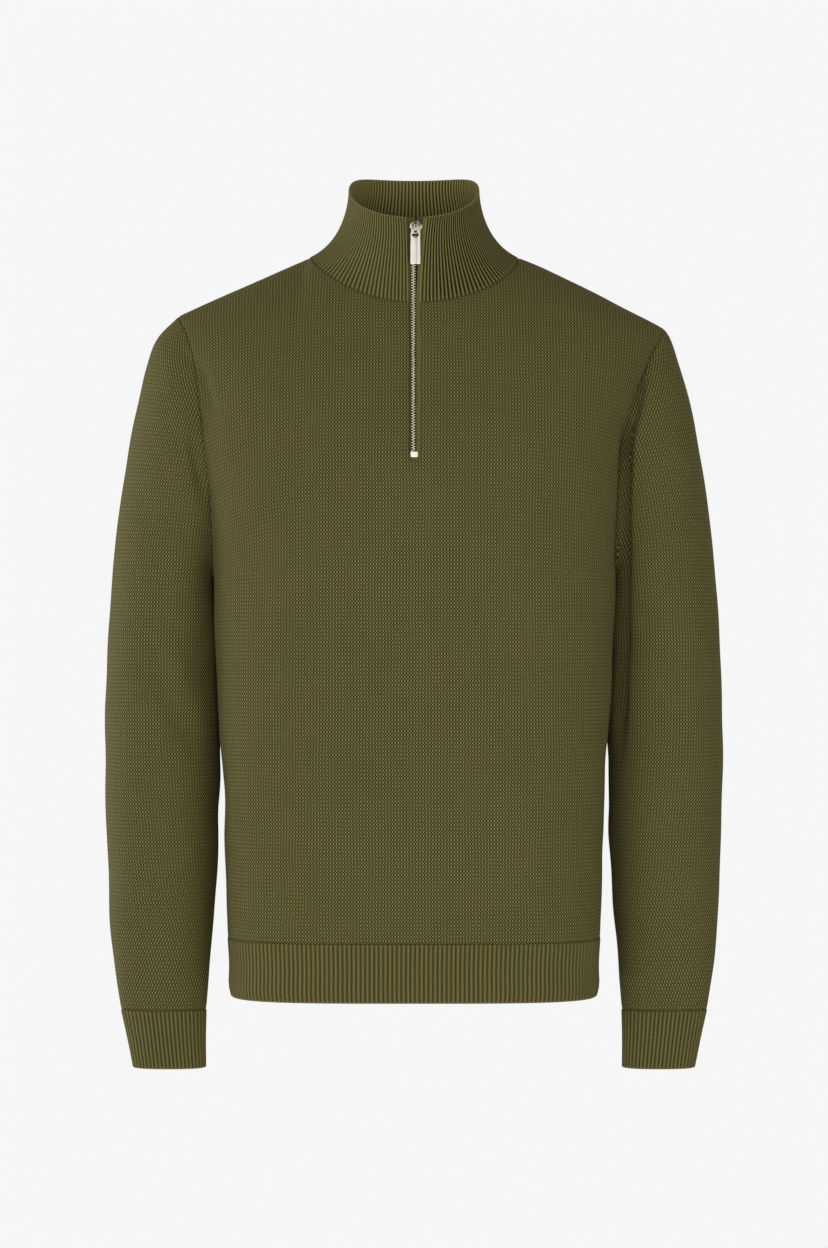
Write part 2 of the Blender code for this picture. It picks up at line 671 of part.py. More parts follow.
def extrude_outline(name, outline, low, high, material, smooth=True):
    """A closed outline of (y, z) points, drawn anticlockwise from +X, from x=low to x=high."""
    count = len(outline)
    points = [(x, y, z) for x in (low, high) for y, z in outline]
    faces = [tuple(range(count - 1, -1, -1)), tuple(range(count, 2 * count))]
    faces += [(i, (i + 1) % count, count + (i + 1) % count, count + i) for i in range(count)]
    return add_object(name, points, faces, material, smooth)


def join(item, other, operation="UNION"):
    """Joins or cuts an object with another one, which is then only a guide."""
    modifier = item.modifiers.new(operation.lower(), "BOOLEAN")
    modifier.operation = operation
    modifier.object = other
    other.hide_render = True
    other.display_type = "WIRE"


def make_stop(middle, normals, material):
    """A clamped box in front of the tapes, at the chain's foot, turned with the cloth."""
    normal = unit(read_at(STOP_Z, middle, normals))
    size = np.array(STOP_SIZE) / 2
    out = TAPE_THICK / 2 + TAPE_GAP + size[1]
    stop = add_box("zip_stop", -size, size, material)
    stop.location = read_at(STOP_Z, middle, middle) + out * normal
    stop.rotation_euler = (math.atan2(-normal[2], -normal[1]), 0.0, 0.0)


def stadium(centre_y, low_z, high_z, radius, steps=12):
    """A round-ended outline in the YZ plane, anticlockwise seen from +X."""
    low = np.linspace(math.pi, 2 * math.pi, steps + 1)
    high = np.linspace(0, math.pi, steps + 1)
    outline = [(centre_y + radius * math.cos(a), low_z + radius * math.sin(a)) for a in low]
    return outline + [
        (centre_y + radius * math.cos(a), high_z + radius * math.sin(a)) for a in high
    ]


def make_slider(middle, material):
    """Two plates that hold the tapes between them, a post above the chain, and the bail."""
    centre_x = zip_centre(SLIDER_TOP)
    mid_y = read_at((SLIDER_TOP + SLIDER_BOTTOM) / 2, middle, middle)[1]
    slot = TAPE_THICK / 2 + TAPE_GAP * 2
    front, back = mid_y - slot - PLATE_THICK, mid_y + slot + PLATE_THICK
    low = (centre_x - SLIDER_HALF, front, SLIDER_BOTTOM)
    high = (centre_x + SLIDER_HALF, back, SLIDER_TOP)
    slider = add_box("zip_slider", low, high, material)
    bevel = slider.modifiers.new("corners", "BEVEL")
    bevel.width = PLATE_BEVEL
    bevel.segments = 1
    past = CUTTER_EXTRA
    for name, sign in (("slot_right", -1), ("slot_left", 1)):
        near, far = centre_x + sign * POST_HALF, centre_x + sign * (SLIDER_HALF + past)
        cut_low = (min(near, far), mid_y - slot, SLIDER_BOTTOM - past)
        cut_high = (max(near, far), mid_y + slot, SLIDER_TOP + past)
        join(slider, add_box(name, cut_low, cut_high, material), "DIFFERENCE")
    throat_low = (centre_x - POST_HALF - past, mid_y - slot, SLIDER_BOTTOM - past)
    throat_high = (centre_x + POST_HALF + past, mid_y + slot, SLIDER_TOP - POST_TALL)
    join(slider, add_box("throat", throat_low, throat_high, material), "DIFFERENCE")
    x, y, z = TAB_PIVOT
    outer = stadium(y, z, z + BAIL_RISE, BAIL_BORE + BAIL_WALL)
    bore = stadium(y, z, z + BAIL_RISE, BAIL_BORE)
    bail = extrude_outline("bail_block", outer, x - BAIL_HALF, x + BAIL_HALF, material)
    wide = BAIL_HALF + past
    hole = extrude_outline("bail_bore", bore, x - wide, x + wide, material)
    join(bail, hole, "DIFFERENCE")
    join(slider, bail)


def plate(name, outline, thick, material):
    """A plate across Y from an outline of (x, z) points, drawn anticlockwise from the front."""
    count = len(outline)
    points = [(x, y, z) for y in (-thick / 2, thick / 2) for x, z in outline]
    faces = [tuple(range(count)), tuple(range(2 * count - 1, count - 1, -1))]
    faces += [(i, count + i, count + (i + 1) % count, (i + 1) % count) for i in range(count)]
    return add_object(name, points, faces, material, smooth=False)


def make_tab(material):
    """A flat plate with a round eye. Its origin is on the hinge, and it leans on the collar."""
    half = TAB_WIDTH / 2
    outline = []
    for centre, turns in ((half - TAB_CORNER, (0, 1)), (TAB_CORNER - half, (1, 2))):
        for angle in np.linspace(*turns, TAB_CORNER_STEPS + 1) * math.pi / 2:
            x = centre + TAB_CORNER * math.cos(angle)
            outline.append((x, TAB_TOP - TAB_CORNER + TAB_CORNER * math.sin(angle)))
    outline += [(-half, TAB_TOP - TAB_LENGTH), (half, TAB_TOP - TAB_LENGTH)]
    tab = plate("pull_tab", outline, TAB_THICK, material)
    angles = (np.arange(TAB_EYE_STEPS) + 0.5) * 2 * math.pi / TAB_EYE_STEPS
    eye = [(TAB_EYE * math.cos(a), TAB_EYE * math.sin(a) - TAB_EYE_DROP) for a in angles]
    cutter = plate("tab_eye", eye, TAB_THICK + 2 * CUTTER_EXTRA, material)
    cutter.parent = tab
    join(tab, cutter, "DIFFERENCE")
    tab.location = TAB_PIVOT
    tab.rotation_euler = (-TAB_LEAN, 0.0, 0.0)


# ---------------------------------------------------------------- the garment
def make_garment():
    knit = make_material("olive knit", KNIT, 0.95)
    rib = make_material("olive rib", RIB, 0.95)
    tape = make_material("zip tape", TAPE, 0.9)
    steel = make_material("zip metal", STEEL, 0.35, 1.0)
    tab_metal = make_material("pull metal", TAB_METAL, 0.25, 1.0)

    front, back = body_grid("front"), body_grid("back")
    everywhere = {"low", "high", "sides"}
    panels = {
        "front": dict(grid=front, side="body", seams=everywhere, level_edge=0),
        "back": dict(grid=back, side="body", seams=everywhere, level_edge=0),
        "collar": dict(grid=collar_grid(), flip=True, seams={"low"}, part=COLLAR_PART),
    }
    for side in SIDES:
        panels["sleeve_" + side] = dict(
            grid=sleeve_grid(side, front, back),
            closed=True,
            flip=side == "right",
            seams={"low", "high"},
            level_edge=-1,
        )
    plain = dict(closed=False, flip=False, part=SEAM_PART, level_edge=None)
    for name, panel in panels.items():
        panels[name] = {"side": name, **plain, **panel}
    join_panels(panels)

    slit_row = len(PANEL_LEVELS) - 1 + CHEST_SHARES.index(SLIT_SHARE)
    slit_column = NECK_COLUMNS["front"] + SHOULDER_COLUMNS
    wall("front", panels["front"], knit, lambda r, c: r >= slit_row and c == slit_column)
    for name in ("back", "sleeve_right", "sleeve_left"):
        wall(name, panels[name], knit)
    make_collar(panels["collar"], rib)
    make_hem(rib)
    for side in SIDES:
        make_cuff(side, rib)

    lines = zip_line(panels["front"], panels["collar"])
    for side in SIDES:
        make_tape(side, lines[side], tape)
    middle, normals = chain_middle(lines)
    make_chain(middle, steel)
    make_stop(middle, normals, steel)
    make_slider(middle, steel)
    make_tab(tab_metal)


clear_scene()
make_garment()
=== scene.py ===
# %% [markdown]
# # A quarter zip sweater, from plain walls to knitted cloth
#
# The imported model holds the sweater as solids: two body panels, two sleeves, a collar, a hem
# rib, two cuffs and the zip. This lesson draws each piece again as fine cloth on the same form,
# knits its surface with shader nodes, and lights it softly. All sizes are metres, +Z is up, the
# front faces -Y, and the wearer's right side is on -X.

# %% Load the model and keep its box
import json
import math
from functools import partial

import bpy
import numpy as np
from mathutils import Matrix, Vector

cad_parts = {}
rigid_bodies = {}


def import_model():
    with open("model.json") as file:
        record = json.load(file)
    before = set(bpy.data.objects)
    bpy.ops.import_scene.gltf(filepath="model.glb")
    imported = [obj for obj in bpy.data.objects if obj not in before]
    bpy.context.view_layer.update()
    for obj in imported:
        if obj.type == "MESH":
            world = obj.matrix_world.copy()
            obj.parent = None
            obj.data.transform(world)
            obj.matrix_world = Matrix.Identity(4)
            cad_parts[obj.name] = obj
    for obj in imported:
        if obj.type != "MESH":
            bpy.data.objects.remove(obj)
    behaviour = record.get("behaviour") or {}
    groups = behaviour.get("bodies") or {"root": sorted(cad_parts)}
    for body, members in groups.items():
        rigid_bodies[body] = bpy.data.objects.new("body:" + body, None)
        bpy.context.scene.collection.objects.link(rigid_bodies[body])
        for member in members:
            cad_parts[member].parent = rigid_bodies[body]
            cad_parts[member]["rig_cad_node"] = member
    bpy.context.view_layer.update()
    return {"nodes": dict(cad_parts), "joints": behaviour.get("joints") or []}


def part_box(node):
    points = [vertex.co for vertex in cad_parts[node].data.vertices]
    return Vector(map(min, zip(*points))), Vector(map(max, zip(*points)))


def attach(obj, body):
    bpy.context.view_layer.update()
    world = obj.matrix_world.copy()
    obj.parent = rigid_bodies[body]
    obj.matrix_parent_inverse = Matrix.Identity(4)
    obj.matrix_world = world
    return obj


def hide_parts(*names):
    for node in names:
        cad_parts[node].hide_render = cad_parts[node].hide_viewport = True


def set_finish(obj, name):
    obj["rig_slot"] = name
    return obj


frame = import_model()
MM = 0.001
SIDES = {"right": -1, "left": 1}

# %% [markdown]
# ## Where the camera stands
#
# The sweater is seen from the front, a little below its middle. A long lens from 3.4 m away
# keeps it nearly flat, as a catalogue picture does, yet the sides still round away. The camera
# is made first, so that every later piece can be checked in the view.

# %% The camera
CAMERA_AWAY = 3.4
CAMERA_LEVEL = -0.3294
VIEW_TALL = 1.1232  # the height that the picture covers at the middle of the sweater
SENSOR_TALL = 36.0

camera_data = bpy.data.cameras.new("camera")
camera_data.sensor_fit = "VERTICAL"
camera_data.sensor_height = SENSOR_TALL
camera_data.lens = SENSOR_TALL * CAMERA_AWAY / VIEW_TALL
camera = bpy.data.objects.new("camera", camera_data)
camera.location = (0.0, -CAMERA_AWAY, CAMERA_LEVEL)
camera.rotation_euler = (math.pi / 2, 0.0, 0.0)
bpy.context.scene.collection.objects.link(camera)
bpy.context.scene.camera = camera
print("lens:", round(camera_data.lens, 1), "mm")

# %% [markdown]
# ## The pattern
#
# A maker cuts knitwear from a few measures: the width of the body at each height, the armhole,
# the neckline, the sleeve from shoulder to wrist. The tables below hold them in millimetres, one
# row for each section, and the functions read them with a smooth curve. The solids were drawn
# from nearly the same measures. The cloth keeps to them, apart from its folds and from a
# neckline that sits a few millimetres higher.

# %% Measures of the body, in millimetres
WALL = 2.5 * MM  # the cloth's thickness
SEAM_PART, COLLAR_PART = 0.17 * MM, 0.25 * MM  # how far edges stand off their seam lines
# z, half width, depth at the front, depth at the back, squareness
TORSO_ROWS = (
    (-660.5, 166.4, 108.0, 106.0, 3.6),
    (-635.0, 165.0, 107.4, 105.5, 3.6),
    (-608.7, 166.4, 108.4, 106.0, 3.6),
    (-549.0, 168.3, 110.5, 105.5, 3.5),
    (-488.0, 170.5, 113.0, 105.0, 3.4),
    (-443.0, 172.8, 114.5, 105.5, 3.3),
    (-398.0, 175.0, 116.0, 107.0, 3.2),
    (-308.0, 178.4, 118.0, 111.0, 3.0),
    (-285.0, 179.5, 118.5, 112.0, 3.0),
)
HEM_SEAM, HEM_BOTTOM, UNDERARM = -608.7 * MM, -660.5 * MM, -285.0 * MM
# share of the way from the underarm to the shoulder, half width on the right and on the left,
# depth at the front and at the back
ARMHOLE_ROWS = (
    (0.00, 179.5, 179.5, 118.5, 112.0),
    (0.16, 179.6, 180.0, 119.5, 113.0),
    (0.33, 182.0, 182.2, 120.0, 114.0),
    (0.48, 186.0, 185.5, 120.0, 114.0),
    (0.61, 189.5, 190.0, 119.0, 113.0),
    (0.78, 194.5, 202.5, 117.5, 111.0),
    (0.87, 199.0, 210.5, 117.0, 110.0),
    (0.94, 205.0, 218.5, 116.5, 109.0),
    (1.00, 212.0, 225.5, 116.0, 108.0),
)
CHEST_POWER, ROLL_POWER = 3.0, 2.6
FLAT_POWER = 0.7  # how a chest section flattens on its way to the shoulder
# how much of the section's half width the armhole takes away at the top
ARMHOLE_CUT = {
    ("front", "right"): 0.09,
    ("front", "left"): 0.03,
    ("back", "right"): 0.09,
    ("back", "left"): 0.09,
}
# how roundly the cloth turns over the neckline, the neck point and the shoulder tip
NECK_ROLL, NECK_POINT_ROLL, SHOULDER_ROLL = 1.05, 1.3, 2.0
# x and z of the shoulder's tip, and how its line bows
TIP = {"right": (212.0 * MM, -52.0 * MM, 1.0), "left": (225.5 * MM, -64.0 * MM, 1.12)}
SEAM_Y = 6.0 * MM  # the shoulder seam lies a little to the back
NECK_SHARE, GATHER = 0.50, 7.0  # share of the columns that end at the neckline, and how late
SLIT_HALF, SLIT_SHARE = 4.2 * MM, 0.41  # half the slit's width, and its foot's place up the armhole

print("chest tables:", len(TORSO_ROWS), "and", len(ARMHOLE_ROWS), "rows")

# %% Measures of the neckline, collar, sleeves and cuffs
NECK_HALF, NECK_Z = 93.6 * MM, 0.8 * MM
NECK_DROP = {"right": 1.6, "left": 1.15}  # 1 for an even oval, more for a neckline that starts level
NECK_CENTRE = {"front": (-69.0 * MM, -45.7 * MM), "back": (64.0 * MM, -8.0 * MM)}
RIM_HALF, RIM_Z = 58.5 * MM, 61.2 * MM
RIM_CENTRE = {"front": (-62.0 * MM, 30.2 * MM), "back": (58.0 * MM, 76.1 * MM)}
RIM_BACK_POWER = 2.6
COLLAR_LEAN = {"side": 0.91, "front": 0.30, "back": 0.45}  # how far it leans in off the seam
COLLAR_REACH, RIM_REACH = 26.0 * MM, 24.0 * MM
SLIT_AT_RIM = {"right": 6.9 * MM, "left": 10.9 * MM}  # half the gap at the rim
SLIT_SPREAD = 1.7  # 1 for a gap that opens evenly, more for one that opens late
COLLAR_RIBS = {"front": 36, "back": 28}  # in each quarter of the collar
# outer edge and its z, clearance from the body, z of the inner edge, half depth, middle in y,
# and how much of the armhole's own shape is left
SLEEVE_ROWS = (
    (230.5, -71.5, 1.2, -287.5, 57.0, 2.0, 0.80),
    (240.5, -98.0, 1.4, -293.0, 59.5, 4.0, 0.55),
    (250.5, -139.0, 1.4, -304.0, 61.0, 7.0, 0.28),
    (259.0, -184.0, 1.4, -321.0, 61.0, 9.0, 0.10),
    (265.5, -228.0, 1.4, -345.0, 60.5, 11.0, 0.0),
    (272.0, -287.0, 1.4, -378.0, 59.5, 12.0, 0.0),
    (276.5, -358.0, 1.6, -420.0, 58.0, 12.0, 0.0),
    (278.6, -436.0, 2.2, -466.0, 55.5, 9.0, 0.0),
    (276.6, -510.0, 6.6, -520.0, 51.0, 5.0, 0.0),
    (273.9, -578.0, 12.0, -581.0, 43.0, 0.0, 0.0),
    (269.0, -636.0, 18.6, -637.0, 29.0, -5.0, 0.0),
    (262.8, -675.0, 20.2, -675.0, 18.5, -8.0, 0.0),
)
SLEEVE_POWER, ARMHOLE_HALF_DEPTH = 2.2, 52.0 * MM
# z, outer edge, inner edge, half depth, middle in y
CUFF_ROWS = (
    (-727.0, 251.8, 187.0, 20.0, -8.0),
    (-701.0, 257.0, 187.2, 19.0, -8.0),
    (-675.0, 262.8, 186.6, 18.5, -8.0),
)
CUFF_POWER, CUFF_SEAM, CUFF_BOTTOM = 2.3, -675.0 * MM, -727.0 * MM
HEM_RIBS, CUFF_RIBS = 240, 50
print("sleeve table:", len(SLEEVE_ROWS), "rows; ribs round the hem:", HEM_RIBS)


# %% Small tools for smooth curves
def unit(vectors):
    """Vectors brought to a length of one."""
    return vectors / np.maximum(np.linalg.norm(vectors, axis=-1, keepdims=True), 1e-12)


def smooth(ratio):
    """A soft passage from 0 to 1."""
    ratio = np.clip(ratio, 0.0, 1.0)
    return ratio * ratio * (3 - 2 * ratio)


def bulge(ratio, power):
    """The height of a rounded section: 1 in its middle and 0 at its sides."""
    return np.maximum(0.0, 1.0 - np.abs(ratio) ** power) ** (1.0 / power)


def boxed(value, power):
    """A sine or cosine changed so that a circle of them becomes a rounded box."""
    return np.sign(value) * np.abs(value) ** (2 / power)


def curve_through(places, values, at):
    """A smooth curve through values known at some places, read at others."""
    slopes = np.gradient(values, places, axis=0)
    i = np.clip(np.searchsorted(places, at) - 1, 0, len(places) - 2)
    shape = (-1,) + (1,) * (values.ndim - 1)
    step = (places[i + 1] - places[i]).reshape(shape)
    t = np.clip((at - places[i]).reshape(shape) / step, 0.0, 1.0)
    first = (1 + 2 * t) * (1 - t) ** 2 * values[i] + t * (1 - t) ** 2 * step * slopes[i]
    second = t * t * (3 - 2 * t) * values[i + 1] - t * t * (1 - t) * step * slopes[i + 1]
    return first + second


def read_rows(rows, at):
    """The columns of a table, read at values of its first column."""
    table = np.array(sorted(rows))
    return curve_through(table[:, 0], table[:, 1:], np.atleast_1d(at)).T


def running_length(steps):
    """Lengths summed up along the first axis, from zero."""
    return np.concatenate([np.zeros_like(steps[:1]), np.cumsum(steps, axis=0)])


def gaps(points, axis=0):
    """Distances from each point to the next along one axis of a grid."""
    return np.linalg.norm(np.diff(points, axis=axis), axis=-1)


def in_space(x, y, z):
    """Points from three coordinates, each one number for all of them or a list."""
    return np.stack(np.broadcast_arrays(x, y, z), axis=-1)


def wrapped(grid):
    """A closed grid with its first column once more at its end."""
    return np.concatenate([grid, grid[:, :1]], axis=1)


print("half width at the hem seam:", float(read_rows(TORSO_ROWS, -608.7)[0][0]), "mm")

# %% [markdown]
# ## Body panels as grids
#
# The front and the back are each one knitted panel. I lay a grid over each: rows run from the
# hem seam up to the shoulder, columns from the middle out to the side. Along a row the columns
# are spaced by the length of cloth between them, so the grid doesn't bunch where the body
# rounds. With every point I keep two lengths, across the wales and up the courses: they later
# tell the knit shader where it is, so that stitches stay the same size everywhere.

# %% Sections and the neckline
ARC_STEPS = 1200


def section_arc(half, depth, power):
    """Points of a quarter section from its middle to its side, and the cloth's length to each."""
    angle = np.linspace(0.0, math.pi / 2, ARC_STEPS)
    x, y = half * boxed(np.sin(angle), power), depth * boxed(np.cos(angle), power)
    return x, running_length(np.hypot(np.diff(x), np.diff(y)))


def spread_along(half, depth, power, start, stop, shares):
    """Places in x that lie at shares of the cloth's length between two others."""
    x, length = section_arc(half, depth, power)
    low, high = np.interp([start, stop], x, length)
    return np.interp(low + shares * (high - low), length, x)


def neck_point(side, face, angle):
    """Points of the neckline, from the neck point at 0 to the middle at a right angle."""
    y, z = NECK_CENTRE[face]
    turn = np.sin(angle)
    drop = turn ** (NECK_DROP[side] if face == "front" else 1.0)
    x = SIDES[side] * NECK_HALF * np.cos(angle)
    return in_space(x, SEAM_Y + (y - SEAM_Y) * turn, NECK_Z + (z - NECK_Z) * drop)


half, _, depth, _ = read_rows(ARMHOLE_ROWS, 0.0)[:, 0] * MM
print("a quarter of the chest:", round(section_arc(half, depth, CHEST_POWER)[1][-1] / MM), "mm")


# %% One half of a body panel
def body_half(face, side, shares, levels, ups):
    """Rows by columns of points, and of the length across the wales."""
    start = SLIT_HALF if face == "front" else 0.0
    facing = -1 if face == "front" else 1
    tip_x, tip_z, bow = TIP[side]
    along = np.clip((shares - NECK_SHARE) / (1 - NECK_SHARE), 0.0, 1.0)
    angle = np.clip(1 - shares / NECK_SHARE, 0.0, 1.0) * math.acos(start / NECK_HALF)
    shoulder_x = NECK_HALF + (tip_x - NECK_HALF) * along
    shoulder_z = NECK_Z + (tip_z - NECK_Z) * along**bow
    shoulder = in_space(SIDES[side] * shoulder_x, SEAM_Y, shoulder_z)
    at_neck = shares <= NECK_SHARE
    top = np.where(at_neck[:, None], neck_point(side, face, angle), shoulder)
    neck_roll = NECK_POINT_ROLL + (NECK_ROLL - NECK_POINT_ROLL) * np.sin(angle)
    tip_roll = NECK_POINT_ROLL + (SHOULDER_ROLL - NECK_POINT_ROLL) * along
    roll = np.where(at_neck, neck_roll, tip_roll)
    points, across = [], []
    for z, half, front, back, power in zip(levels, *read_rows(TORSO_ROWS, levels / MM)):
        half, depth = half * MM, (front if face == "front" else back) * MM
        x = spread_along(half, depth, power, start, half, shares)
        x[-1] = half
        y = facing * depth * bulge(x / half, power)
        points.append(in_space(SIDES[side] * x, y, z))
        across.append(np.interp(x, *section_arc(half, depth, power)))
    for up, right, left, front, back in zip(ups, *read_rows(ARMHOLE_ROWS, ups)):
        edge = (right if side == "right" else left) * MM
        depth = (front if face == "front" else back) * MM
        half = edge / (1 - ARMHOLE_CUT[face, side] * up)
        low = spread_along(half, depth, CHEST_POWER, start, edge, shares)
        reach = np.abs(top[:, 0])
        high = reach * (1 + (edge / tip_x - 1) * reach / tip_x)
        ease = up**GATHER
        x = (1 - ease) * low + ease * high
        x[-1] = edge
        fall = max(0.0, 1 - up**ROLL_POWER) ** (1 / roll)
        y = top[:, 1] + (facing * depth * bulge(x / half, CHEST_POWER) - top[:, 1]) * fall
        z = UNDERARM + (top[:, 2] - UNDERARM) * up
        points.append(in_space(SIDES[side] * x, y, z))
        flat_depth = depth * max(0.0, 1 - up**ROLL_POWER) ** FLAT_POWER
        across.append(np.interp(x, *section_arc(half, flat_depth, CHEST_POWER)))
    return np.array(points), SIDES[side] * np.array(across)


# %% Join the halves of each panel
EDGE_SHARES = (0.979, 0.986, 0.992, 0.9965, 1.0)  # extra columns close to the side edge
COLUMNS, LAST_COLUMN = 74, 0.972  # the even columns, and the last one's share of the way
BODY_ROWS, ARMHOLE_STEPS = 96, 84
ROW_CROWD = 1.12  # rows lie closer at the hem's seam

shares = np.concatenate([np.linspace(0.0, LAST_COLUMN, COLUMNS), EDGE_SHARES])
levels = HEM_SEAM + (UNDERARM - HEM_SEAM) * np.linspace(0.0, 1.0, BODY_ROWS) ** ROW_CROWD
ups = (1 - np.cos(np.linspace(0.0, math.pi, ARMHOLE_STEPS))) / 2
slit_step = int(np.argmin(np.abs(ups - SLIT_SHARE)))
ups[slit_step] = SLIT_SHARE
CHEST_ROW = BODY_ROWS - 1  # the first row over the underarm
SLIT_ROW = CHEST_ROW + slit_step
SLIT_COLUMN = len(shares) - 1  # the slit's edge on the wearer's right; the next one is on the left


def body_grid(face):
    """Points and (across, up) lengths; columns run to +X on the front and to -X on the back."""
    near, far = ("right", "left") if face == "front" else ("left", "right")
    first = 0 if face == "front" else 1
    halves = [body_half(face, side, shares, levels[:-1], ups) for side in (near, far)]
    (near_points, near_across), (far_points, far_across) = halves
    points = np.concatenate([near_points[:, ::-1], far_points[:, first:]], axis=1)
    across = np.concatenate([near_across[:, ::-1], far_across[:, first:]], axis=1)
    steps = np.diff(points, axis=0)
    up = running_length(np.hypot(steps[..., 1], steps[..., 2]))
    return points, np.stack([across, up], axis=-1)


front_grid, front_lengths = body_grid("front")
back_grid, back_lengths = body_grid("back")
print("front grid:", front_grid.shape[:2], " back grid:", back_grid.shape[:2])

# %% [markdown]
# ## Sleeves as rings
#
# A set-in sleeve starts as the armhole itself and turns, ring by ring, into a round tube. The
# first ring is read from the body panels' own edges, which is why no gap can open there. Each
# ring starts at the underarm seam, the one place where the knit is allowed to break.

# %% Rings from the armhole to the cuff
SLEEVE_RINGS, RING_CROWD = 176, 0.4  # rings lie closer beside both seams


def sleeve_grid(side):
    """Rings of points from the armhole down to the cuff's seam."""
    front_edge = front_grid[CHEST_ROW:, 0 if side == "right" else -1]
    back_edge = back_grid[CHEST_ROW:, -1 if side == "right" else 0]
    armhole = np.concatenate([front_edge, back_edge[-2:0:-1]])
    up = np.concatenate([ups, ups[-2:0:-1]])[:, None]
    facing = np.where(np.arange(len(up)) < len(ups), -1, 1)[:, None]
    pit, tip = armhole[0], armhole[len(ups) - 1]

    def ring(outer, inner, half_depth, centre_y):
        points = inner + (outer - inner) * up
        points[:, 1:2] = centre_y + facing * half_depth * bulge(2 * up - 1, SLEEVE_POWER)
        return points

    own_shape = armhole - ring(tip, pit, ARMHOLE_HALF_DEPTH, 0.0)
    rings = [armhole]
    for outer, z_outer, gap, z_inner, half_depth, centre_y, keep in SLEEVE_ROWS:
        inner = read_rows(TORSO_ROWS, z_inner)[0][0] + gap
        shape = ring(
            np.array([SIDES[side] * outer, 0.0, z_outer]) * MM,
            np.array([SIDES[side] * inner, 0.0, z_inner]) * MM,
            half_depth * MM,
            centre_y * MM,
        )
        rings.append(shape + keep * own_shape)
    rings = np.array(rings)
    places = running_length(gaps(rings).mean(axis=1))
    t = np.linspace(0.0, 1.0, SLEEVE_RINGS)
    t = t - RING_CROWD * np.sin(2 * math.pi * t) / (2 * math.pi)
    return curve_through(places, rings, t * places[-1])


sleeve_grids = {side: sleeve_grid(side) for side in SIDES}
for side, grid in sleeve_grids.items():
    print(side, "sleeve:", grid.shape[:2])

# %% [markdown]
# ## The cloth's own lengths
#
# On a sleeve the courses run square to the arm, so I count them along a line down its middle,
# from the cuff up, and the wales outward from the line down the sleeve's outer side. The folds
# that come later change these lengths a little. A short settling then pushes and pulls the
# flat cloth's points until neighbours lie as far apart there as on the folded form, so that
# stitches keep their size across every fold.

# %% Lengths along and round a sleeve
AXIS_X, AXIS_BEND, AXIS_STEPS, SLICES = 226.5 * MM, 36 * MM, 260, 240
AXIS_BELOW, AXIS_TOP = 10 * MM, 60 * MM  # the line starts under the cuff's seam


def sleeve_lengths(side, grid):
    """Across the wales, from the line down the outer side, and up the courses, from the cuff."""
    closed = wrapped(grid)
    z = np.linspace(CUFF_SEAM - AXIS_BELOW, AXIS_TOP, AXIS_STEPS)
    bend = np.maximum(0.0, (z - UNDERARM) / (TIP[side][1] - UNDERARM)) ** 2
    arm = np.stack([SIDES[side] * (AXIS_X - AXIS_BEND * bend), z], axis=-1)
    ahead = unit(np.gradient(arm, axis=0))
    length = running_length(gaps(arm))
    flat = closed[..., [0, 2]].reshape(-1, 2)
    nearest = np.array([np.argmin(((arm - point) ** 2).sum(axis=1)) for point in flat])
    up = length[nearest] + ((flat - arm[nearest]) * ahead[nearest]).sum(axis=1)
    up = up.reshape(closed.shape[:2]) - length[0] - AXIS_BELOW
    levels = np.linspace(up.min(), up.max(), SLICES)
    slices = np.empty((SLICES, closed.shape[1], 3))
    for column in range(closed.shape[1]):
        for axis in range(3):
            slices[:, column, axis] = np.interp(levels, up[::-1, column], closed[::-1, column, axis])
    around = running_length(gaps(slices, 1).T).T
    around = around - around[:, len(ups) - 1 : len(ups)]
    across = [np.interp(up[:, column], levels, around[:, column]) for column in range(closed.shape[1])]
    return np.stack([np.array(across).T, up], axis=-1)


# %% Settle the cloth's lengths
SETTLE_ROUNDS, SETTLE_STEP = 160, 0.2


def settle(lengths, grid, closed):
    """Lengths moved until neighbours lie as far apart on the flat cloth as on the form."""
    form = wrapped(grid) if closed else grid
    flat = lengths.copy()
    ahead, behind, every = slice(1, None), slice(None, -1), slice(None)
    pairs = (
        ((ahead, every), (behind, every)),
        ((every, ahead), (every, behind)),
        ((ahead, ahead), (behind, behind)),
        ((ahead, behind), (behind, ahead)),
    )
    wanted = [np.linalg.norm(form[a] - form[b], axis=-1) for a, b in pairs]
    for _ in range(SETTLE_ROUNDS):
        push = np.zeros_like(flat)
        for (a, b), distance in zip(pairs, wanted):
            apart = flat[a] - flat[b]
            size = np.maximum(np.linalg.norm(apart, axis=-1), 1e-6)
            step = (0.5 - 0.5 * distance / size)[..., None] * apart
            push[a] -= step
            push[b] += step
        flat += SETTLE_STEP * push
    return flat


# %% [markdown]
# ## Seams, folds and walls
#
# Neighbouring panels share their seam points. If they also share their normals there, a fold can
# run across a seam without tearing it. So I add up the normals of every panel at each point,
# move the cloth along them by the height of the folds, and only then give it its thickness. At a
# seam the outer side dips a little, as linked knitwear does.

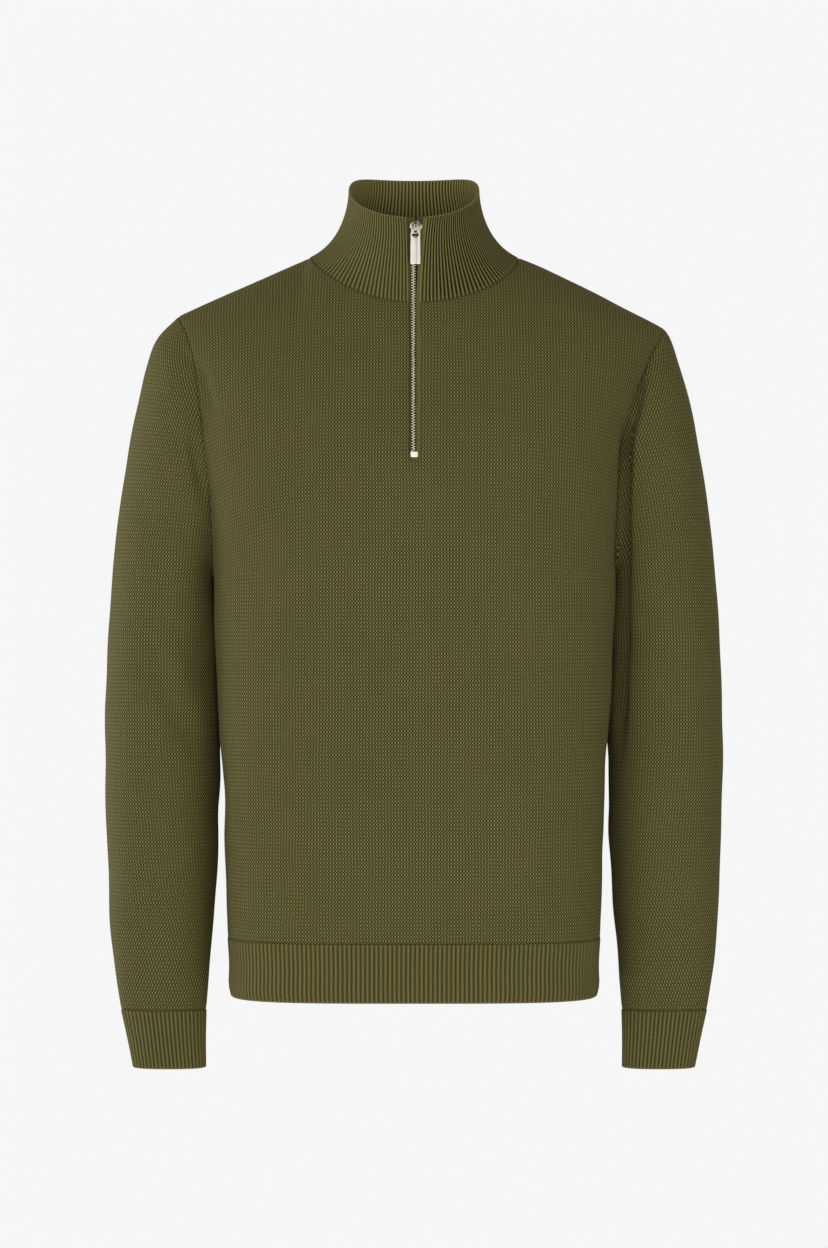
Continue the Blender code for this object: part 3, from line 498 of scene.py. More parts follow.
# %% Folds, each a soft trough along a line
# x and z of one end, x and z of the other, half width, depth, lip beside it, and the side it is
# on (-1 the front, 1 the back); all in millimetres apart from the last two
FOLDS = (
    (-243, -335, -197, -446, 10.5, 4.0, 0.50, -1),
    (-201, -352, -196, -470, 7.0, 1.4, 0.10, -1),
    (-192, -92, -176, -150, 5.0, 3.4, 0.30, -1),
    (-200, -152, -184, -226, 5.5, 3.6, 0.35, -1),
    (-207, -80, -197, -104, 3.5, 1.6, 0.30, -1),
    (-250, -205, -222, -262, 15.0, 1.8, 0.20, -1),
    (-238, -500, -206, -548, 11.0, 1.7, 0.30, -1),
    (-247, -588, -214, -622, 9.0, 1.4, 0.30, -1),
    (207, -101, 184, -190, 3.2, 4.0, 0.05, -1),
    (190, -136, 184, -306, 4.0, 10.0, 0.0, -1),
    (188, -225, 184, -456, 4.2, 10.0, 0.0, -1),
    (180, -262, 179, -470, 5.0, -1.5, 0.0, -1),
    (181, -225, 179, -470, 5.0, -4.0, 0.0, 1),
    (-176, -425, -173, -522, 5.0, 1.6, 0.0, -1),
    (-176, -425, -173, -522, 5.0, 1.6, 0.0, 1),
    (176, -425, 173, -522, 5.0, 1.6, 0.0, -1),
    (176, -425, 173, -522, 5.0, 1.6, 0.0, 1),
    (-182, -275, -180, -445, 7.0, -2.2, 0.0, -1),
    (196, -318, 236, -352, 11.0, 1.5, 0.30, -1),
    (202, -398, 243, -446, 12.0, 2.0, 0.35, -1),
    (212, -500, 252, -532, 10.0, 1.4, 0.30, -1),
    (220, -585, 252, -612, 8.0, 1.2, 0.30, -1),
    (152, -168, 92, -338, 28.0, 2.2, 0.20, -1),
    (108, -492, 158, -598, 22.0, 2.0, 0.20, -1),
    (-130, -486, -112, -596, 22.0, 1.6, 0.20, -1),
    (-158, -205, -118, -330, 24.0, 1.6, 0.20, -1),
    (-82, -66, -14, -92, 13.0, 1.5, 0.20, -1),
    (84, -62, 16, -92, 13.0, 1.7, 0.20, -1),
    (-30, -330, 66, -352, 30.0, -1.6, 0.0, -1),
    (-150, -110, -62, -196, 20.0, 2.6, 0.30, 1),
    (146, -112, 58, -188, 22.0, 2.3, 0.30, 1),
    (-170, -236, -112, -338, 15.0, 2.4, 0.30, 1),
    (172, -250, 124, -330, 14.0, 2.6, 0.30, 1),
    (-124, -418, 112, -446, 20.0, 2.4, 0.40, 1),
    (-82, -498, 130, -516, 17.0, 1.8, 0.40, 1),
    (-150, -560, -20, -574, 14.0, 1.3, 0.30, 1),
    (-244, -336, -202, -392, 9.0, 3.8, 0.50, 1),
    (-248, -396, -208, -432, 7.5, 2.8, 0.50, 1),
    (-240, -520, -208, -556, 10.0, 1.6, 0.30, 1),
    (244, -330, 204, -386, 9.5, 3.4, 0.50, 1),
    (250, -388, 210, -428, 7.0, 2.6, 0.50, 1),
    (242, -508, 212, -548, 10.0, 1.7, 0.30, 1),
)
FOLD_ENDS, LIP_AT, FACING = 0.32, 1.8, 1.4  # a fold's soft ends, its lip's place, its side's edge
WAVES, WAVE_HEIGHT, WAVE_SEED = 9, 0.34 * MM, 7
WAVE_SHORT, WAVE_LONG, WAVE_LEAN = 60, 170, 0.6
QUIET = 36 * MM  # how far from a ribbed edge folds and waves reach their full height
print(len(FOLDS), "folds and", WAVES, "waves")


def fold_height(points, normals):
    """How far the cloth stands out of its plain form at each point."""
    x, z = points[..., 0] / MM, points[..., 2] / MM
    height = np.zeros(x.shape)
    for x0, z0, x1, z1, width, depth, lip, face in FOLDS:
        length = math.hypot(x1 - x0, z1 - z0)
        dx, dz = (x1 - x0) / length, (z1 - z0) / length
        share = ((x - x0) * dx + (z - z0) * dz) / length
        off = ((z - z0) * dx - (x - x0) * dz) / width
        ends = smooth(share / FOLD_ENDS) * smooth((1 - share) / FOLD_ENDS)
        trough = lip * np.exp(-((off - LIP_AT) ** 2)) - np.exp(-(off**2))
        facing = smooth(0.5 + FACING * face * normals[..., 1])
        height += depth * MM * trough * ends * facing
    random = np.random.default_rng(WAVE_SEED)
    for _ in range(WAVES):
        highest = (WAVE_LONG, math.pi, 2 * math.pi)
        wave_length, turn, phase = random.uniform((WAVE_SHORT, 0, 0), highest)
        lean = points[..., 1] / MM * WAVE_LEAN
        run = (x * math.cos(turn) + (z + lean) * math.sin(turn)) / wave_length
        height += WAVE_HEIGHT * np.sin(2 * math.pi * run + phase) / math.sqrt(WAVES / 2)
    return height


# %% Normals that neighbouring panels share
def grid_normals(grid, closed, flip):
    """Each point's normal, weighted by the faces round it."""
    near = wrapped(grid) if closed else grid
    normal = np.cross(near[1:, 1:] - near[:-1, :-1], near[1:, :-1] - near[:-1, 1:])
    normal = -normal if flip else normal
    total = np.zeros_like(near)
    for rows, columns in ((0, 0), (0, 1), (1, 0), (1, 1)):
        total[rows : rows + len(normal), columns : columns + normal.shape[1]] += normal
    if closed:
        total[:, 0] += total[:, -1]
        total = total[:, :-1]
    return total


def share_normals(panels):
    """Unit normals for each panel, halved at a seam between the body, the sleeves and collar."""
    places = np.concatenate([panel["grid"].reshape(-1, 3) for panel in panels])
    rounded = np.round(places * 1e6).astype(np.int64) + 2**20  # one number for each place
    codes = (rounded[:, 0] * 2**21 + rounded[:, 1]) * 2**21 + rounded[:, 2]
    _, same = np.unique(codes, return_inverse=True)
    total = np.zeros((same.max() + 1, 3))
    ends = np.cumsum([panel["grid"].shape[0] * panel["grid"].shape[1] for panel in panels])
    parts = [same[low:high] for low, high in zip([0, *ends], ends)]
    for group in dict.fromkeys(panel["group"] for panel in panels):
        own = np.zeros_like(total)
        for panel, part in zip(panels, parts):
            if panel["group"] == group:
                normals = grid_normals(panel["grid"], panel["closed"], panel["flip"])
                np.add.at(own, part, normals.reshape(-1, 3))
        total += unit(own)
    for panel, part in zip(panels, parts):
        panel["normals"] = unit(total[part]).reshape(panel["grid"].shape)
        edge = panel["level_edge"]
        if edge is not None:
            panel["normals"][edge, :, 2] = 0.0
            panel["normals"] = unit(panel["normals"])


# %% The collar's coarse grid, as a neighbour of the body's neckline
def rim_point(side, face, angle):
    """Points of the collar's rim, as neck_point gives those of its seam."""
    y, z = RIM_CENTRE[face]
    turn = np.sin(angle)
    rise = turn if face == "front" else 1 - (1 - turn) ** RIM_BACK_POWER
    x = SIDES[side] * RIM_HALF * np.cos(angle)
    return in_space(x, y * turn, RIM_Z + (z - RIM_Z) * rise)


def collar_points(side, face, parts, share):
    """The collar's skin: parts run from the neck point to the middle, share from seam to rim."""
    end = math.pi / 2
    if face == "front":
        seam_end = math.acos(SLIT_HALF / NECK_HALF)
        rim_end = math.acos(SLIT_AT_RIM[side] / RIM_HALF)
        end = seam_end + (rim_end - seam_end) * share**SLIT_SPREAD
    angle = parts * end
    base, rim = neck_point(side, face, angle), rim_point(side, face, angle)
    inward = np.array([0.0, SEAM_Y, 0.0]) - base * (1, 1, 0)
    cos, sin = np.cos(angle)[:, None], np.sin(angle)[:, None]
    lean = COLLAR_LEAN["side"] * cos**2 + COLLAR_LEAN[face] * sin**2
    rise = np.sqrt(1 - lean**2) * np.array([0.0, 0.0, 1.0])
    second = base + COLLAR_REACH * (lean * unit(inward) + rise)
    third = rim - np.array([0.0, 0.0, RIM_REACH])
    rest = 1 - share
    bottom = rest**3 * base + 3 * rest**2 * share * second
    return bottom + 3 * rest * share**2 * third + share**3 * rim


def collar_row(parts, share):
    """All round the collar, from the slit's right edge past the back to its left edge."""
    quarters = (("right", "front"), ("right", "back"), ("left", "back"), ("left", "front"))
    rows = [collar_points(*quarter, part, share) for quarter, part in zip(quarters, parts)]
    return np.concatenate(rows)


COLLAR_ROWS = 31
COLLAR_SHARES = np.linspace(0.0, 1.0, COLLAR_ROWS)
outward = shares[shares <= NECK_SHARE] / NECK_SHARE  # from the middle to the neck point
inward = 1 - outward[::-1]
neck_parts = (inward[::-1], inward[1:], inward[::-1][1:], inward[1:])
collar_grid = np.array([collar_row(neck_parts, share) for share in COLLAR_SHARES])
print("collar grid:", collar_grid.shape[:2])

# %% Fold the panels
panels = {
    "front": dict(grid=front_grid, lengths=front_lengths, group="body", level_edge=0),
    "back": dict(grid=back_grid, lengths=back_lengths, group="body", level_edge=0),
    "collar": dict(grid=collar_grid, group="collar", flip=True),
}
for side, grid in sleeve_grids.items():
    sleeve = dict(grid=grid, lengths=sleeve_lengths(side, grid), group=side, closed=True)
    panels["sleeve_" + side] = dict(sleeve, flip=side == "left", level_edge=-1)
for name, panel in panels.items():
    panels[name] = {"closed": False, "flip": False, "level_edge": None, **panel}
share_normals(list(panels.values()))

deepest = 0.0
for name, panel in panels.items():
    if name == "collar":
        continue
    from_rib = panel["lengths"][..., 1][:, : panel["grid"].shape[1]]
    calm = smooth(from_rib / QUIET)
    if panel["group"] == "body":
        beside_neck = np.maximum(0.0, np.abs(panel["grid"][-1:, :, 0]) - NECK_HALF)
        calm = calm * smooth((from_rib[-1:] - from_rib + beside_neck) / QUIET)
    height = fold_height(panel["grid"], panel["normals"]) * calm
    panel["grid"] = panel["grid"] + height[..., None] * panel["normals"]
    panel["lengths"] = settle(panel["lengths"], panel["grid"], panel["closed"])
    deepest = min(deepest, float(height.min()))
share_normals(list(panels.values()))
print("deepest fold:", round(deepest / MM, 1), "mm")


# %% Faces, walls and meshes
def quads(rows, columns, closed_rows=False, closed_columns=False, flip=False):
    """Corner indices of a grid's faces: into its points, and into arrays one longer if closed."""
    r, c = np.meshgrid(
        np.arange(rows if closed_rows else rows - 1),
        np.arange(columns if closed_columns else columns - 1),
        indexing="ij",
    )
    corner_r = np.stack([r, r, r + 1, r + 1], axis=-1)
    corner_c = np.stack([c, c + 1, c + 1, c], axis=-1)
    wide = columns + int(closed_columns)
    faces = (corner_r % rows) * columns + corner_c % columns
    marks = corner_r * wide + corner_c
    faces, marks = faces.reshape(-1, 4), marks.reshape(-1, 4)
    return (faces[:, ::-1], marks[:, ::-1]) if flip else (faces, marks)


def rim_faces(faces, count):
    """Faces that close a sheet's open edges to its second side, whose points come after."""
    start, stop = faces.reshape(-1), np.roll(faces, -1, axis=1).reshape(-1)
    open_edge = ~np.isin(start * count + stop, stop * count + start)
    a, b = start[open_edge], stop[open_edge]
    return np.stack([b, a, a + count, b + count], axis=1), np.flatnonzero(open_edge)


def add_piece(name, points, faces, fabric=None, body="garment"):
    """A mesh object from points and quads; fabric is a coordinate for each corner of a quad."""
    a, b, c, d = (points[faces[:, corner]] for corner in range(4))
    volume = (np.cross(a, b) * c).sum() + (np.cross(a, c) * d).sum()
    if volume < 0:
        faces = faces[:, ::-1]
        fabric = None if fabric is None else fabric[:, ::-1]
    mesh = bpy.data.meshes.new(name)
    mesh.from_pydata(points.tolist(), [], faces.tolist())
    if fabric is not None:
        mesh.uv_layers.new(name="fabric").data.foreach_set("uv", fabric.ravel())
    mesh.shade_smooth()
    piece = bpy.data.objects.new(name, mesh)
    bpy.context.scene.collection.objects.link(piece)
    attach(piece, body)
    print(f"{name}: {len(points)} points, {2 * len(faces)} triangles")
    return piece


def surface_area(points, faces):
    a, b, c, d = (points[faces[:, corner]] for corner in range(4))
    return float(np.linalg.norm(np.cross(c - a, d - b), axis=1).sum() / 2)


# %% [markdown]
# ## The knitted panels
#
# Front, back and sleeves are cut from the same tuck-stitch cloth. Each piece is a thin wall: the
# outer skin, the same points moved inward by the cloth's thickness, and a rim that joins the
# two. Linked seams pull the edges in, so the outer skin dips over the last few millimetres.

# %% Edges that dip into their seams
SEAM_DIP, DIP_REACH = 0.45 * MM, 2.6 * MM
SLIT_DIP, SLIT_REACH = 1.1 * MM, 7.0 * MM


def edge_distance(grid, edges):
    """How far each point lies from the nearest of the named edges, along the grid."""
    distance = np.full(grid.shape[:2], 1.0)
    down = running_length(gaps(grid))
    over = running_length(gaps(grid, 1).T).T
    for edge in edges:
        lengths = {
            "low": down,
            "high": down[-1:] - down,
            "sides": np.minimum(over, over[:, -1:] - over),
        }[edge]
        distance = np.minimum(distance, lengths)
    return distance


def edge_moves(grid, edges):
    """Steps that part a panel's edge from its seam line."""
    moves = np.zeros_like(grid)
    if "low" in edges:
        moves[0] += unit(grid[1] - grid[0])
    if "high" in edges:
        moves[-1] += unit(grid[-2] - grid[-1])
    if "sides" in edges:
        moves[:, 0] += unit(grid[:, 1] - grid[:, 0])
        moves[:, -1] += unit(grid[:, -2] - grid[:, -1])
    return SEAM_PART * unit(moves) * np.linalg.norm(moves, axis=2, keepdims=True)


# %% A panel's wall
def knit_panel(name, edges, skip=None):
    """The panel as a wall, its flat size and its area; skip says which faces are left out."""
    panel = panels[name]
    grid, normals = panel["grid"], panel["normals"]
    rows, columns = grid.shape[:2]
    dip = SEAM_DIP * (1 - smooth(edge_distance(grid, edges) / DIP_REACH))
    if name == "front":
        beside = np.abs(grid[..., 0]) - SLIT_HALF
        below = np.maximum(0.0, grid[SLIT_ROW, SLIT_COLUMN, 2] - grid[..., 2])
        dip = np.maximum(dip, SLIT_DIP * (1 - smooth(np.hypot(beside, below) / SLIT_REACH)))
    parted = grid + edge_moves(grid, edges)
    outer = parted - dip[..., None] * normals
    inner = parted - WALL * normals
    faces, marks = quads(rows, columns, closed_columns=panel["closed"], flip=panel["flip"])
    if skip is not None:
        keep = ~skip(faces)
        faces, marks = faces[keep], marks[keep]
    rim, at = rim_faces(faces, rows * columns)
    lengths = panel["lengths"].reshape(-1, 2)
    following = np.roll(marks, -1, axis=1).reshape(-1)[at]
    own = marks.reshape(-1)[at]
    rim_marks = np.stack([following, own, own, following], axis=1)
    points = np.concatenate([outer.reshape(-1, 3), inner.reshape(-1, 3)])
    all_faces = np.concatenate([faces, faces[:, ::-1] + rows * columns, rim])
    all_marks = np.concatenate([marks, marks[:, ::-1], rim_marks])
    piece = add_piece(name + "_knit", points, all_faces, lengths[all_marks])
    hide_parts(name)
    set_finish(piece, "knit")
    size = [float(np.ptp(lengths[:, axis])) for axis in (0, 1)]
    area = surface_area(outer.reshape(-1, 3), faces)
    print(f"  cut {size[0]:.3f} x {size[1]:.3f} m, {area:.4f} square metres")
    return piece, size, area


def over_slit(faces):
    row, column = np.divmod(faces.min(axis=1), front_grid.shape[1])
    return (row >= SLIT_ROW) & (column == SLIT_COLUMN)


around_edges = {"low", "high", "sides"}
cloth = {"front": knit_panel("front", around_edges, over_slit)}
cloth["back"] = knit_panel("back", around_edges)
for side in SIDES:
    cloth["sleeve_" + side] = knit_panel("sleeve_" + side, {"low", "high"})

# %% [markdown]
# ## Ribs
#
# Rib knit makes the cloth spring back: columns of plain stitches stand out and the columns
# between them sink away, on both faces. That relief is far too coarse for a bump map, so each
# rib is modelled. One function gives the height across a rib, with a broad flat crest and a
# narrow groove, and the inner face uses it half a rib further on, so the cloth keeps an even
# thickness. Every band is one closed loop of rows: up the outside, over the rounded edge, and
# back up the inside.

# %% The profile of a rib and of a band
RIB_CREST, RIB_GROOVE, RIB_SHOULDER = 0.45 * MM, 0.75 * MM, 0.22
RIB_PHASES = np.array((0.0, 0.07, 0.15, 0.26, 0.5, 0.74, 0.85, 0.93))
DIMPLE, DIMPLE_WIDE = 0.08 * MM, 0.06  # the faint line down the middle of a crest
BAND_SINK = 0.35 * MM  # the inner face's middle, measured in from the solid's
EDGE_ROUND, EDGE_THICK, EDGE_REACH = 0.9 * MM, 1.5 * MM, 9.0 * MM  # a free edge is knitted thinner
OUTER_LEFT, INNER_LEFT, EDGE_TURNS = 0.8, 0.6, 8  # the ribs' relief over the rounded edge
RIB_START, RIB_FOOT = 2.2 * MM, 0.25  # ribs rise to their full height over this length
PLAIN_RIBS = (0.0, 0.5)  # how many ribs are plain at the first open end and at the last
EDGE_MARK = 0.100  # the fabric's length is counted so that every free edge lies at this mark


def rib_height(phase):
    """The height over the skin; phase is 0 and 1 in the grooves and a half on the crest."""
    reach = np.abs((phase + 0.5) % 1.0 - 0.5)
    rise = smooth(reach / RIB_SHOULDER)
    dimple = DIMPLE * np.exp(-(((reach - 0.5) / DIMPLE_WIDE) ** 2))
    return (RIB_CREST + RIB_GROOVE) * rise - RIB_GROOVE - dimple


def band_rows(length, steps):
    """Rows of a band as (share from seam to edge, sink, how much of outer rib, of inner rib)."""
    rounding = EDGE_ROUND / length
    start = RIB_START / length
    down = [0.0, start * 0.45, start, *np.linspace(start * 2, 1 - rounding, steps)]
    rows = [(share, 0.0, smooth(RIB_FOOT + share / start), 0.0) for share in down]
    for turn in np.linspace(0.0, math.pi, EDGE_TURNS)[1:-1]:
        out = math.cos(turn)
        share = 1 - rounding + rounding * math.sin(turn)
        sink = EDGE_THICK * (1 - out) / 2
        rows.append((share, sink, max(0.0, out) * OUTER_LEFT, max(0.0, -out) * INNER_LEFT))
    for share in down[::-1]:
        full = smooth((1 - share) * length / EDGE_REACH)
        inner = INNER_LEFT + (1 - INNER_LEFT) * full
        rows.append((share, EDGE_THICK + (WALL - EDGE_THICK) * full, 0.0, inner))
    return rows


print("rib relief:", round((RIB_CREST + RIB_GROOVE) / MM, 2), "mm")


# %% A band of ribs
def ribbed_piece(name, skin, ribs, length, steps, closed):
    """A band from skin(share) -> points and normals, for all phases of all ribs in turn."""
    phases = (np.arange(ribs)[:, None] + RIB_PHASES).ravel()
    if not closed:
        phases = np.append(phases, ribs)
    points, fabric = [], []
    for share, sink, outer, inner in band_rows(length, steps):
        place, normals = skin(share, phases)
        plain = (phases > ribs - PLAIN_RIBS[1]) & (not closed)
        height = outer * np.where(plain, RIB_CREST, rib_height(phases)) - sink
        height += inner * (BAND_SINK - rib_height(phases + 0.5) - RIB_GROOVE)
        points.append(place + height[:, None] * normals)
        marks = np.append(phases, ribs) if closed else phases
        shift = 0.5 if inner > 0 else 0.0
        if not closed:
            marks = np.clip(marks, PLAIN_RIBS[0], ribs - PLAIN_RIBS[1])
        along = EDGE_MARK - (1 - share) * length
        fabric.append(np.stack([marks + shift, np.full(len(marks), along)], axis=-1))
    points = np.array(points)
    fabric.append(fabric[0])
    rows, columns = points.shape[:2]
    faces, marks = quads(rows, columns, True, closed)
    if not closed:
        i = np.arange(rows // 2 - 1)
        cap = np.stack([i, i + 1, rows - 2 - i, rows - 1 - i], axis=1) * columns
        faces = np.concatenate([faces, cap, cap[:, ::-1] + columns - 1])
        marks = np.concatenate([marks, cap, cap[:, ::-1] + columns - 1])
    piece = add_piece(name, points.reshape(-1, 3), faces, np.array(fabric).reshape(-1, 2)[marks])
    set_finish(piece, "rib")
    return piece


# %% Bands on closed sections
RING_STEPS = 6001


def ring_at(half, front, back, power, shares_round):
    """Points at shares of the way round a closed section, anticlockwise from its +X side."""
    angle = np.linspace(0.0, 2 * math.pi, RING_STEPS)
    cos, sin = np.cos(angle), np.sin(angle)
    x, y = half * boxed(cos, power), np.where(sin < 0, front, back) * boxed(sin, power)
    length = running_length(np.hypot(np.diff(x), np.diff(y)))
    at = shares_round * length[-1]
    return np.stack([np.interp(at, length, x), np.interp(at, length, y)], axis=-1), length[-1]


def band_skin(ribs, seam, bottom, read_section):
    """A skin(share, phases) for ribbed_piece, from the closed section at each height."""

    def skin(share, phases):
        z = seam - SEAM_PART + (bottom - seam + SEAM_PART) * share
        centre, half, front, back, power = read_section(z)
        steps = (0.0, 0.25, -0.25)
        rings = [ring_at(half, front, back, power, ((phases + s) / ribs) % 1.0)[0] for s in steps]
        ring, along = rings[0], rings[1] - rings[2]
        return in_space(*(ring + centre).T, z), unit(in_space(along[:, 1], -along[:, 0], 0.0))

    return skin


# %% Hem and cuffs
BAND_STEPS = 9
CORNER_PULL, CORNER_RISE = 3.2, 15 * MM  # the side of the hem draws in over its last rows


def hem_section(z):
    half, front, back, power = (values[0] for values in read_rows(TORSO_ROWS, z / MM))
    drawn = max(0.0, 1 - (z - HEM_BOTTOM) / CORNER_RISE) ** 2
    return np.zeros(2), (half - CORNER_PULL * drawn) * MM, front * MM, back * MM, power


def cuff_section(side):
    def read_section(z):
        outer, inner, depth, y = (values[0] * MM for values in read_rows(CUFF_ROWS, z / MM))
        centre = np.array([SIDES[side] * (outer + inner) / 2, y])
        return centre, (outer - inner) / 2, depth, depth, CUFF_POWER

    return read_section


hem_length, cuff_length = HEM_SEAM - HEM_BOTTOM, CUFF_SEAM - CUFF_BOTTOM
hem_skin = band_skin(HEM_RIBS, HEM_SEAM, HEM_BOTTOM, hem_section)
hem = ribbed_piece("hem_rib_knit", hem_skin, HEM_RIBS, hem_length, BAND_STEPS, True)
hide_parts("hem_rib")
cuffs = {}
for side in SIDES:
    skin = band_skin(CUFF_RIBS, CUFF_SEAM, CUFF_BOTTOM, cuff_section(side))
    cuff = ribbed_piece(f"cuff_{side}_knit", skin, CUFF_RIBS, cuff_length, BAND_STEPS, True)
    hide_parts("cuff_" + side)
    cuffs[side] = cuff

# %% The collar's measures
COLLAR_STEPS = 20
COLLAR_END_RIBS = 1.6  # how many ribs beside the zip sink towards it
COLLAR_CROWD = 0.20  # how much narrower the ribs beside the zip are at the neck seam

collar_length = float(gaps(collar_grid).sum(axis=0).mean())
collar_round = float(gaps(collar_grid, 1).sum(axis=1).mean())
half_ribs = COLLAR_RIBS["front"] + COLLAR_RIBS["back"]
front_places = COLLAR_RIBS["front"] * (1 - inward[::-1])
back_places = COLLAR_RIBS["front"] + COLLAR_RIBS["back"] * inward[1:]
collar_places = np.concatenate([front_places, back_places])
collar_places = np.concatenate([collar_places, 2 * half_ribs - collar_places[::-1][1:]])
print(f"collar: {2 * half_ribs} ribs, {collar_round:.3f} m round, {collar_length:.3f} m high")


# %% The collar
def collar_skin(share, phases):
    """The collar at a share of its height, for places counted in ribs from its right edge."""
    front, back = COLLAR_RIBS["front"], COLLAR_RIBS["back"]
    row = np.clip(share, 0.0, 1.0)
    ends = np.minimum(phases, 2 * half_ribs - phases)
    turn = 2 * math.pi * np.minimum(ends / front, 1.0)
    crowd = COLLAR_CROWD * (1 - row) * front * np.sin(turn) / (2 * math.pi)
    phases = phases + np.where(phases <= half_ribs, -crowd, crowd)
    cuts = np.searchsorted(phases, (front, half_ribs, half_ribs + back), side="right")
    first, second, third, fourth = np.split(phases, cuts)
    parts = (
        1 - first / front,
        (second - front) / back,
        1 - (third - half_ribs) / back,
        (fourth - half_ribs - back) / front,
    )
    points = collar_row(parts, row)
    normals = np.empty_like(points)
    level = row * (len(COLLAR_SHARES) - 1)
    low = min(int(level), len(COLLAR_SHARES) - 2)
    mix = level - low
    known = (1 - mix) * panels["collar"]["normals"][low] + mix * panels["collar"]["normals"][low + 1]
    for axis in range(3):
        normals[:, axis] = np.interp(phases, collar_places, known[:, axis])
    points = points - SLIT_DIP * (1 - smooth(ends / COLLAR_END_RIBS))[:, None] * unit(normals)
    if share <= 0.0:  # the seam's row moves a little the way that the collar leaves the neckline
        base, step = (collar_points("right", "front", np.array([0.5]), up) for up in (0.0, 0.01))
        points = points + (0.0, 0.0, COLLAR_PART * float(unit(step - base)[0, 2]))
    return points, unit(normals)


collar = ribbed_piece("collar_knit", collar_skin, 2 * half_ribs, collar_length, COLLAR_STEPS, False)
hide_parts("collar")
band_faces = len(band_rows(collar_length, COLLAR_STEPS)) * 2 * half_ribs * len(RIB_PHASES)
# The inner side's faces take a second material, the rib lightened with painted light.
inner_faces = np.zeros(len(collar.data.polygons), dtype=np.int32)
inner_faces[band_faces // 2 : band_faces] = 1  # the second half of the rows is the inner side
collar.data.polygons.foreach_set("material_index", inner_faces)

# %% [markdown]
# ## The zip
#
# A metal zip has two rows of teeth clamped on woven tapes. Each tooth is a small block with a
# rounded head that reaches just past the middle, and the rows mesh half a pitch apart. The tapes
# stay the model's own. I loft one tooth from rounded sections and repeat it along the tape's
# line, read from the model's plain chain, so the row follows the chest's curve.

# %% Measures of a tooth
TOOTH_PITCH = 2.35 * MM
TOOTH_REACH, TOOTH_CLAMP = 0.62 * MM, 2.15 * MM  # past the middle, and out on the tape
CHAIN_SHIFT = 0.5 * MM  # the closed row lies a little to the wearer's right of the slit's middle
TOOTH_FORWARD = 0.35 * MM  # the teeth's fronts are thicker than their backs
TOOTH_START, TOOTH_END = {"right": 0.4, "left": 0.9}, 0.3  # in pitches, from the chain's ends
TOOTH_CORNERS, TOOTH_POWER = 8, 2.8
# share of the way from the clamp to the head, half depth, half height, in millimetres
TOOTH_SECTIONS = (
    (0.00, 0.90, 0.30),
    (0.05, 1.20, 0.60),
    (0.50, 1.25, 0.66),
    (0.68, 1.22, 0.56),
    (0.90, 1.12, 0.48),
    (1.00, 0.66, 0.22),
)
print("one tooth every", round(TOOTH_PITCH / MM, 2), "mm on each tape")


# %% Tools for small lofted parts
def oval(half_across, half_up, steps, power):
    """A rounded outline: power 2 gives an ellipse, and a higher power a rounder box."""
    turn = (np.arange(steps) + 0.5) / steps * 2 * math.pi
    across, up = half_across * boxed(np.cos(turn), power), half_up * boxed(np.sin(turn), power)
    return np.stack([across, up], axis=-1)


def loft(rings, closed=False):
    """Points and quads of rings joined in turn, capped at both ends unless they close up."""
    count, corners = rings.shape[:2]
    faces, _ = quads(count, corners, closed, True)
    if not closed:
        i = np.arange(corners // 2 - 1)
        cap = np.stack([i, i + 1, corners - 2 - i, corners - 1 - i], axis=1)
        faces = np.concatenate([faces, cap[:, ::-1], cap + (count - 1) * corners])
    return rings.reshape(-1, 3), faces


def joined(parts):
    """Several lofts as one list of points and one of faces."""
    ends = np.cumsum([0] + [len(points) for points, _ in parts])
    faces = np.concatenate([faces + start for (_, faces), start in zip(parts, ends)])
    return np.concatenate([points for points, _ in parts]), faces


# %% The line of the closed chain
SAME_LEVEL = 2e-5  # points of the plain chain this close in height belong to one section

chain = np.array([vertex.co for vertex in frame["nodes"]["zip_chain"].data.vertices])
chain_z = np.unique(np.round(chain[:, 2], 5))
chain_rows = [chain[np.abs(chain[:, 2] - z) < SAME_LEVEL, :2] for z in chain_z]
chain_xy = np.array([(row.min(axis=0) + row.max(axis=0)) / 2 for row in chain_rows])


def chain_point(z):
    return np.array([np.interp(z, chain_z, chain_xy[:, axis]) for axis in (0, 1)])


print("zip runs from", round(chain_z[0] / MM, 1), "to", round(chain_z[-1] / MM, 1), "mm")

# %% Teeth
for side, sign in SIDES.items():
    teeth = []
    start = chain_z[0] + TOOTH_PITCH * TOOTH_START[side]
    for z in np.arange(start, chain_z[-1] - TOOTH_END * TOOTH_PITCH, TOOTH_PITCH):
        x, y = chain_point(z) - (CHAIN_SHIFT, TOOTH_FORWARD)
        rings = []
        for share, half_depth, half_height in TOOTH_SECTIONS:
            out = TOOTH_CLAMP - (TOOTH_CLAMP + TOOTH_REACH) * share
            section = oval(half_depth * MM, half_height * MM, TOOTH_CORNERS, TOOTH_POWER)
            rings.append(in_space(x + sign * out, y + section[:, 0], z + section[:, 1]))
        teeth.append(loft(np.array(rings)))
    row = add_piece("zip_teeth_" + side, *joined(teeth))
    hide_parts("zip_chain")
    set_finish(row, "zip_metal")
    print(f"  {len(teeth)} teeth")

# %% [markdown]
# ## Slider, stop and pull tab
#
# The slider is two plates on a post with a bail over the front one. Seen from the front it is a
# small dome that narrows downward. The tab is a flat bar with a round eye that hangs on the bail,
# and it is the one part that swings. Edges on zip metal are tumbled round, so each plate is
# drawn as rings of its own outline, drawn in and raised a little at a time.

# %% Measures of the slider
PLATE_THICK, PLATE_SLOT = 2.0 * MM, 1.05 * MM
# half width and height over the slider's foot, in millimetres
SLIDER_OUTLINE = (
    (1.4, 12.3), (2.9, 11.6), (4.2, 10.4), (5.1, 8.9), (5.5, 7.3), (5.3, 5.8),
    (4.7, 4.4), (4.25, 3.2), (4.1, 1.9), (4.0, 0.7), (3.5, 0.0),
)
